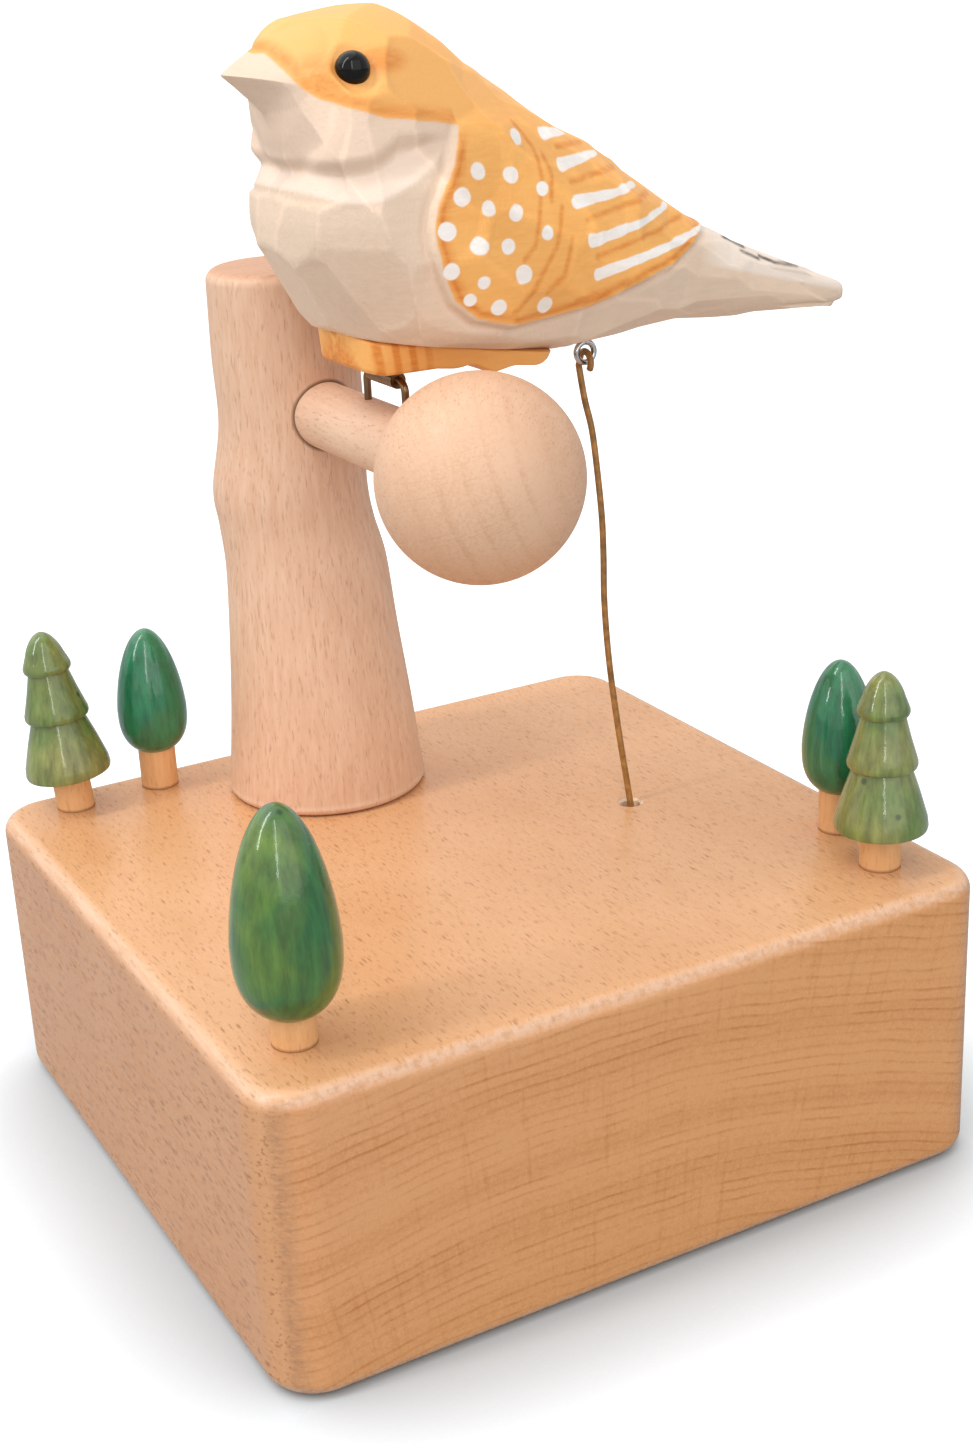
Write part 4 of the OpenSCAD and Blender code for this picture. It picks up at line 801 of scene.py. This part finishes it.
# Deep orange feather strokes on the wing
STROKES = [[(16.8, 34), (18.8, 30.4), (19.1, 26.8), (17.4, 22.2)], [(20.2, 29.4), (20.8, 26.8), (20, 23.8)],
           [(21.7, 22.8), (19.8, 18), (15.8, 13.4), (12.6, 10.4)], [(18, 23.8), (16.2, 18.6), (14.2, 17)],
           [(23.7, 29.9), (30.2, 29.8)], [(24.2, 25.6), (35.2, 26)], [(25.8, 20.6), (40.2, 22)],
           [(27, 15.8), (46.2, 18.2)], [(23.2, 10.6), (35.2, 11.8)], [(22.6, 18.6), (20.8, 14.2), (17.8, 12.6)]]
TAIL_STROKES = [[(54.2, 13.8), (57.8, 11.9)], [(56.8, 11.5), (60, 10)], [(60.4, 10.3), (63, 9.1), (68, 7.9)]]
# Underside of the foot pad, along and up from the hinge; between the ends it clears the hinge tube
PAD_START, PAD_LENGTH, PAD_HALF = -7.4, 31.0, 9.5
PAD_ALONG = [-7.4, -6.6, -4, 4, 7, 9.5, 12.5, 16, 20, 23.6]
PAD_LOW = [3.4, 2.4, 1.62, 1.62, 1.2, 1.6, -0.2, 0.5, -0.1, 1.4]
PAD_CLEAR, PAD_CLEAR_HALF = 1.62, 4.2
# Paint of the foot pad: all of it orange, none of the bird's other marks
PAD_PAINT = {"orange_edge": -5.0, "head_edge": 5.0, "rim_edge": 5.0, "white_edge": 5.0, "wing_edge": -1.0,
             "shade": 0.0, "pale": 0.0, "cut": 0.0, "grey": 0.0}


def collar_line(u):
    """Height of the carved step under the cheek."""
    return 25.7 + np.where(u < -9, 0.05, 0.035) * (u + 9) ** 2


def seat_line(u):
    """Height of the flat seat between the belly and the foot pad."""
    return 5.9 - 0.18 * u


def bird_grid(rings, around):
    """Ovals between an upper and a lower edge, spaced evenly along the bird: points along, across and up."""
    t = np.linspace(0, len(BIRD) - 1, 1500)
    k = through(BIRD, t)
    step = sum(np.linalg.norm(np.diff(k[:, i:i + 2], axis=0), axis=1) for i in (0, 2))
    run = np.concatenate([[0], np.cumsum(step)])
    k = through(BIRD, np.interp(np.linspace(0, run[-1], rings), run, t))
    a = circle(around)
    s, side = (bulge(w, k[:, 5:6]) for w in (np.cos(a), np.sin(a)))
    u, v = ((k[:, i:i + 1] + k[:, i + 2:i + 3]) / 2 + s * (k[:, i:i + 1] - k[:, i + 2:i + 3]) / 2 for i in (0, 1))
    y = -side * k[:, 4:5] * BIRD_HALF * (1 - k[:, 6:7] * s)
    return np.stack([u, y, v], -1)


def knife_sites(grid):
    """Grid places of the knife cuts: rows along the body, each shifted by half a cut, and all shaken a little.

    Cuts that would crowd an earlier one are left out.
    """
    i, j = (w.ravel() for w in np.meshgrid(np.arange(CUT_ROWS), np.arange(CUTS_AROUND), indexing="ij"))
    sites = np.stack([(i + 0.5) / CUT_ROWS, (j + 0.25 + 0.5 * (i % 2)) / CUTS_AROUND % 1], 1)
    sites = np.clip(sites + np.random.default_rng(7).uniform(-0.02, 0.02, sites.shape), 0.01, 0.99)
    row = (sites[:, 0] * (grid.shape[0] - 1)).astype(int)
    column = (sites[:, 1] * grid.shape[1]).astype(int) % grid.shape[1]
    spots = grid[row, column]
    kept = []
    for k, spot in enumerate(spots):
        if not kept or np.linalg.norm(spots[kept] - spot, axis=1).min() > CUT_SPACING:
            kept.append(k)
    return row[kept], column[kept]


def knife_cuts(grid, depth):
    """Flat knife cuts: each is a plane that touches the body at its site; the surface is the lowest plane near by.

    Returns the cut grid, a tone for each cut between -1 and 1, and how near each point is to an edge between cuts.
    """
    n = normals_of(grid)
    p, q = grid.reshape(-1, 3), n.reshape(-1, 3)
    sites = knife_sites(grid)
    centre, face = grid[sites], n[sites]
    lean = q @ face.T
    away = np.linalg.norm(p[:, None] - centre, axis=-1)
    height = -((p[:, None] - centre) * face).sum(-1) / np.maximum(lean, 0.5)
    # Planes that face elsewhere or lie far off don't reach a point, and the throat's don't cut the breast
    breast = ease(27, 23, p[:, 2]) * ease(6, 0, p[:, 0])
    too_deep = 8 * ease(-0.1, -0.4, height) * breast[:, None]
    height = height + 0.2 * np.maximum(away - 7, 0) + 6 * ease(0.75, 0.5, lean) + too_deep
    move = -np.log(np.exp(-CUT_SHARPNESS * np.clip(height, -0.6, 6)).sum(1)) / CUT_SHARPNESS
    # The beak is left smooth, and the tail and the crown are cut less deeply
    blunt = np.maximum(ease(-15.5, -11.5, p[:, 0]), ease(34, 30, p[:, 2]))
    blunt = blunt * (1 - 0.4 * ease(45, 60, p[:, 0])) * (1 - 0.3 * ease(42, 46, p[:, 2]))
    two = np.sort(height, axis=1)[:, :2]
    edge = np.exp(-((two[:, 1] - two[:, 0]) / 0.1) ** 2) * blunt
    tone = np.random.default_rng(3).uniform(-1, 1, len(centre))[height.argmin(1)] * blunt
    cut = grid + (depth * blunt * (np.clip(move, -0.3, 1.1) - 0.3)).reshape(*grid.shape[:2], 1) * n
    return cut, tone, edge


class MUSICBOX_OT_bird(bpy.types.Operator):
    """Carved and painted bird with its bead eyes and foot pad"""
    bl_idname = "music_box.bird"
    bl_label = "Bird"

    def execute(self, context):
        grid, marks = self.carve()
        bird = piece("Bird", grid + HINGE, "bird", ["bird_body"], marks)
        paint = bird_paint()
        coat(bird, paint)
        pad, marks = self.pad()
        coat(piece("Foot_pad", pad + HINGE, "bird", ["foot_pad"], marks), paint)
        # Glass beads: black and fully glossy
        glass, n, s = new_material("Black glass bead", roughness=0.06, base_color=(0.004, 0.003, 0.003, 1),
                                   specular_ior_level=0.22)
        smear = n.noise(n.add("TexCoord").outputs["Object"], 900.0, 2.0)
        n.link(s, {"Roughness": n.span(smear, 0.3, 0.8, 0.01, 0.05)})
        dress(glass, "bird_eyes")
        return {"FINISHED"}

    def carve(self):
        """The bird's surface, and its paint as signed distances and strengths at each point."""
        z = sizes()
        grid, tone, edge = knife_cuts(bird_grid(BIRD_RINGS, BIRD_AROUND), z.facet)
        u, y, v = grid[..., 0], grid[..., 1], grid[..., 2]
        flat = np.stack([u, v], -1)
        wing = edge_distance(flat + WING_EDGE_SHIFT, WING)
        side = ease(0.0, 9.0, np.abs(y))
        # Under the cheek: a gouged groove, steep above, that comes out again at a crisp lower edge
        fold = 30.6 + np.where(u < -10, -0.02, 0.05) * (np.minimum(u, -3) + 10) ** 2
        out = (fold - v) / np.maximum(fold - collar_line(u), 0.5)
        groove = -z.collar / MM * ease(-0.2, 0.4, out) * np.clip((1 - out) / 0.7, 0, 1)
        groove = groove - 0.2 * ease(0.95, 1.05, out) * np.exp(-np.maximum(out - 1, 0))
        groove = ease(5, 0, u) * (1 - 0.35 * ease(-11, -14, u)) * groove
        # The gouge was held level, so the groove goes straight in against this level direction
        outward = unit(np.stack([u + 3, y, 0 * u], -1))
        # The brow stands a little proud of the beak, and each eye sits in a shallow socket
        beak = u + 15.6 - 0.36 * np.abs(y)
        brow = 0.15 * ease(-0.35, 0.35, beak) * ease(5, 0.5, beak) * ease(39.5, 41.0, v)
        socket = -0.45 * ease(3.2, 2.2, np.linalg.norm(flat - EYE, axis=-1)) * side
        # The mouth line runs from the tip of the beak back to the cheek; the facet below it is cut in
        mouth = edge_distance(flat, MOUTH)
        wing_edge = z.wing_lift / MM * ease(0.6, -0.4, wing) - 0.3 * np.exp(-((wing - 0.8) / 0.45) ** 2)
        breast = 0.6 * ease(-3, -10, u) * ease(27.5, 22, v)
        lift = side * ease(36.5, 31, v) * wing_edge + brow + socket + breast - 0.1 * ease(0.1, -1.6, mouth)
        grid = grid + lift[..., None] * normals_of(grid) + groove[..., None] * outward
        # The seat for the foot pad is cut flat
        on_pad = (grid[..., 0] > -14) & (grid[..., 0] < 24.7)
        seat = np.maximum(grid[..., 2], seat_line(grid[..., 0]))
        grid[..., 2] = np.where(on_pad, seat, grid[..., 2])
        marks = self.wing_marks(flat, wing)
        # Painted shade: the cheek along the groove's upper edge and the beak under the mouth are painted darker
        marks["shade"] = np.clip(0.45 * ease(-0.2, 0.0, out) * ease(0.25, 0.1, out) * ease(4, 0, u)
                                 + 0.55 * ease(0.15, -0.15, mouth), 0, 1)
        # Painted light: the lower half of the groove and the upper side of the tail, which face up, are painted
        # paler
        tail_top = 2.0 * ease(47, 54, u) * ease(-0.4, 0.5, v - 8.2 + 0.275 * (u - 58))
        marks["pale"] = np.maximum(ease(0.2, 0.4, out) * ease(1.04, 0.98, out) * ease(3, -1, u), tail_top)
        marks["cut"] = (0.07 * tone + 0.08 * edge).reshape(u.shape)
        # Grey feather marks, on the near side of the tail only
        tail = np.max([ease(0.45, 0.05, line_distance(flat, b)) for b in TAIL_STROKES], axis=0)
        marks["grey"] = tail * (y < 0)
        return grid, marks

    def wing_marks(self, flat, wing):
        """Cap, wing, spots, bars and strokes of the side view."""
        on_wing = flat + WING_SHIFT
        u, v = flat[..., 0], flat[..., 1]
        spots = np.min([np.linalg.norm((on_wing - s[:2]) * [0.92, 1.02], axis=-1) - 0.92 * s[2] for s in SPOTS],
                       axis=0)
        bars = np.min([line_distance(on_wing, b) - np.interp(on_wing[..., 0], [b[0][0], b[-1][0]], BAR_WIDTHS)
                       for b in BARS], axis=0)
        strokes = np.max([ease(0.6, 0.1, line_distance(on_wing, b)) for b in STROKES], axis=0)
        # Deeper orange behind and before the eye, along the cap's lower edge and just inside the wing's edge
        behind_eye = ease(2.2, 0.6, np.linalg.norm((flat - [-3.0, 42.8]) * [0.42, 1.0], axis=-1)) * 0.75
        before_eye = ease(2.4, 0.6, np.linalg.norm((flat - [-10.6, 41.6]) * [0.6, 0.75], axis=-1)) * 0.55
        cap = edge_distance(flat, CAP)
        cap_rim = ease(2.2, 0.3, np.abs(cap + 0.4)) * (u < 6) * 0.65
        wing_line = np.exp(-((cap + 0.8) / 0.5) ** 2) * ease(34, 30, v) * ease(-1.0, 0.5, u)
        stroke = np.maximum.reduce([0.7 * strokes, wing_line, behind_eye, before_eye, cap_rim])
        outer = np.abs(wing - 0.95) - 0.4
        return {
            "orange_edge": cap,
            "head_edge": np.where(u < 5, -(v - collar_line(u)), 4.0),
            "rim_edge": np.where(v < 33, np.maximum(outer, u - 44), 3.0),
            "white_edge": np.minimum(spots, bars),
            "wing_edge": wing,
            "stroke": np.clip(stroke * ease(0.3, -0.7, cap), 0, 1),
        }

    def pad(self):
        """Foot pad: a block between the seat and a wavy underside, narrower and rounded at its ends."""
        a = np.linspace(0, 1, 90)
        along = PAD_START + PAD_LENGTH * a
        low = np.interp(along, PAD_ALONG, PAD_LOW)
        low = np.convolve(np.pad(low, 2, mode="edge"), np.ones(5) / 5, mode="valid")
        low = np.where(np.abs(along) < PAD_CLEAR_HALF, np.maximum(low, PAD_CLEAR), low)
        top = seat_line(along) - 0.02
        half = PAD_HALF * np.clip(1 - np.abs(2 * a - 1) ** 12, 0.02, 1) ** 0.5
        b = circle(96)
        s, w = (bulge(x, 0.22) for x in (np.sin(b), np.cos(b)))
        up = (top + low)[:, None] / 2 + np.maximum(top - low, 0.1)[:, None] / 2 * s
        pad = np.stack([np.broadcast_to(along[:, None], up.shape), half[:, None] * w * (1 + 0.06 * s), up], -1)
        toes = ease(-0.2, 0.6, np.sin(pad[..., 0] * 2.6 + 0.5 * pad[..., 2])) * ease(4.5, 0.5, pad[..., 0])
        marks = {key: np.full(toes.shape, value) for key, value in PAD_PAINT.items()}
        return pad, {**marks, "stroke": np.clip(0.9 * toes, 0, 1)}


# Hinge and wire

# Staple: wire radius, bend radius, half width and height of its legs' ends
STAPLE_R, STAPLE_BEND, STAPLE_HALF, STAPLE_LOW = 0.55, 1.5, 6.0, 108.7
# Screw eye: wire radius and ring radius
EYE_WIRE_R, EYE_RING_R = 0.45, 1.5
# Pull wire: radius, hook round the screw eye, eye round the crank pin, and its bends as share of the way and shift
WIRE_R, WIRE_HOOK, WIRE_EYE = 0.5, 1.5, 1.7
WIRE_BENDS = [[0.03, -0.4], [0.1, -0.1], [0.17, 0.5], [0.27, 0.6], [0.36, 0.5], [0.44, 0.1], [0.53, -0.5],
              [0.63, -0.8], [0.73, -0.8], [0.86, -0.5], [1, 0]]


class MUSICBOX_OT_hinge(bpy.types.Operator):
    """Wire staple, hinge tube, screw eye and brown pull wire"""
    bl_idname = "music_box.hinge"
    bl_label = "Hinge and wire"

    def execute(self, context):
        # Bronzed steel: brown, with bright drawing marks
        bronze = metal("Bronzed steel wire", "#8a6a4c", 0.28, tarnish=0.6)
        # Staple: up one leg, round a bend, along the bar and down the other leg
        a = np.linspace(0, np.pi / 2, 14)
        knee = HINGE[2] - STAPLE_BEND
        leg = np.stack([np.full(20, -STAPLE_HALF), np.linspace(STAPLE_LOW, knee, 20)], 1)
        bend = np.stack([STAPLE_BEND * (1 - np.cos(a)) - STAPLE_HALF, knee + STAPLE_BEND * np.sin(a)], 1)[1:]
        left = np.concatenate([leg, bend])
        bar = np.stack([np.linspace(left[-1, 0], -left[-1, 0], 16), np.full(16, HINGE[2])], 1)[1:-1]
        path = np.concatenate([left, bar, left[::-1] * [-1, 1]])
        path = np.stack([np.full(len(path), HINGE[0]), HINGE[1] + path[:, 0], path[:, 1]], 1)
        grid = drawn(path, STAPLE_R, 24, across=(1, 0, 0))
        coat(piece("Staple", grid, "base", ["perch_staple"], sharp=60), bronze)
        dress(bronze, "hinge_knuckle")

        # Nickel-plated screw eye: a bright ring with a shank that goes up into the tail
        nickel = metal("Nickel-plated steel", "#c9c9cb", 0.14, tarnish=0.2)
        a = np.radians(np.linspace(90, 90 - 352, 72))
        ring = EYE_RING_R * np.stack([np.cos(a), 0 * a, np.sin(a)], 1)
        shank = np.linspace(6.4, 1.75, 12)[:, None] * [0, 0, 1]
        grid = drawn(np.concatenate([shank, ring]) + SCREW_EYE, EYE_WIRE_R, 24, across=(0, 1, 0))
        coat(piece("Screw_eye", grid, "bird", ["tail_screw_eye"]), nickel)

        # Pull wire: hooked through the eye, down with a few bends, and an eye at the crank
        a = np.radians(np.linspace(-40, 180, 24))
        over = np.stack([0 * a, -WIRE_HOOK * np.cos(a), WIRE_HOOK * np.sin(a) - WIRE_HOOK + 0.1], 1)
        b = through(WIRE_BENDS, np.linspace(0, len(WIRE_BENDS) - 1, 90))
        share, shift = b[:, :1], b[:, 1:]
        down = share * (WIRE_HOLE - SCREW_EYE) + shift * RIGHT + WIRE_HOOK * (1 - share) * [0, 1, 0]
        neck = CRANK + [[0, 0, 4.7], [0, 0.05, 2.7]]
        a = np.radians(np.linspace(90, 402, 40))
        eye = CRANK + WIRE_EYE * np.stack([0 * a, np.cos(a), np.sin(a)], 1)
        grid = drawn(np.concatenate([SCREW_EYE + over, SCREW_EYE + down, neck, eye]), WIRE_R)
        # Lacquered wire: brown skin, slightly uneven, with a soft sheen
        wire = colours().wire
        lacquer, n, s = new_material("Brown lacquered wire", roughness=0.4, metallic=0.35)
        uneven = n.span(n.noise(n.add("TexCoord").outputs["Object"], 700.0, 4.0), 0.35, 0.7)
        n.link(s, {"Base Color": n.mix(uneven, scaled(wire, 0.6), scaled(wire, 1.25))})
        coat(piece("Pull_wire", grid, "wire", ["pull_wire"]), lacquer)
        return {"FINISHED"}


# Movement


class MUSICBOX_OT_movement(bpy.types.Operator):
    """Metals of the musical movement and its key"""
    bl_idname = "music_box.movement"
    bl_label = "Movement"

    def execute(self, context):
        # Turned brass: warm, with fine turning marks
        dress(metal("Turned brass", "#c9a455", 0.3), "spring_barrel", "great_wheel", "tune_cylinder",
              "cylinder_pinion", "cylinder_gear", "worm_wheel", "crank_disc", "governor_fan")
        # Ground steel: grey, with long grinding marks
        dress(metal("Ground steel", "#a9abae", 0.34, grain=(0.3, 5.0, 0.3)), "winding_arbor", "winding_key",
              "cylinder_arbor", "comb", "comb_screws", "governor_bracket", "crank_shaft", "crank_pinion",
              "crank_pin", "governor_worm")
        # Blued spring steel: dark and bluish, with a satin face
        dress(metal("Blued spring steel", "#5b616e", 0.3), "mainspring")
        # Cast zinc: dull grey with a sandy skin
        dress(metal("Cast zinc", "#8f9296", 0.5, grain=(0.6, 0.6, 0.6)), "movement_plate")
        return {"FINISHED"}


class MUSICBOX_PT_panel(bpy.types.Panel):
    """Lists the pieces of the music box"""
    bl_idname = "MUSICBOX_PT_panel"
    bl_label = "Music box"
    bl_space_type = "VIEW_3D"
    bl_region_type = "UI"
    bl_category = "Music box"

    def draw(self, context):
        for kind in PIECES:
            self.layout.operator(kind.bl_idname)
        for group in (sizes(), colours()):
            for key in group.__annotations__:
                self.layout.prop(group, key)


PIECES = (MUSICBOX_OT_stage, MUSICBOX_OT_block, MUSICBOX_OT_trunk, MUSICBOX_OT_trees, MUSICBOX_OT_bird,
          MUSICBOX_OT_hinge, MUSICBOX_OT_movement)
CLASSES = (MusicBoxSizes, MusicBoxColours, *PIECES, MUSICBOX_PT_panel)


def register():
    for kind in CLASSES:
        bpy.utils.register_class(kind)
    bpy.types.Scene.music_box_sizes = bpy.props.PointerProperty(type=MusicBoxSizes)
    bpy.types.Scene.music_box_colours = bpy.props.PointerProperty(type=MusicBoxColours)


def unregister():
    del bpy.types.Scene.music_box_sizes
    del bpy.types.Scene.music_box_colours
    for kind in reversed(CLASSES):
        bpy.utils.unregister_class(kind)


def main():
    register()
    bpy.ops.music_box.stage()
    bpy.ops.music_box.block()
    bpy.ops.music_box.trunk()
    bpy.ops.music_box.trees()
    bpy.ops.music_box.bird()
    bpy.ops.music_box.hinge()
    bpy.ops.music_box.movement()


if __name__ == "__main__":
    main()
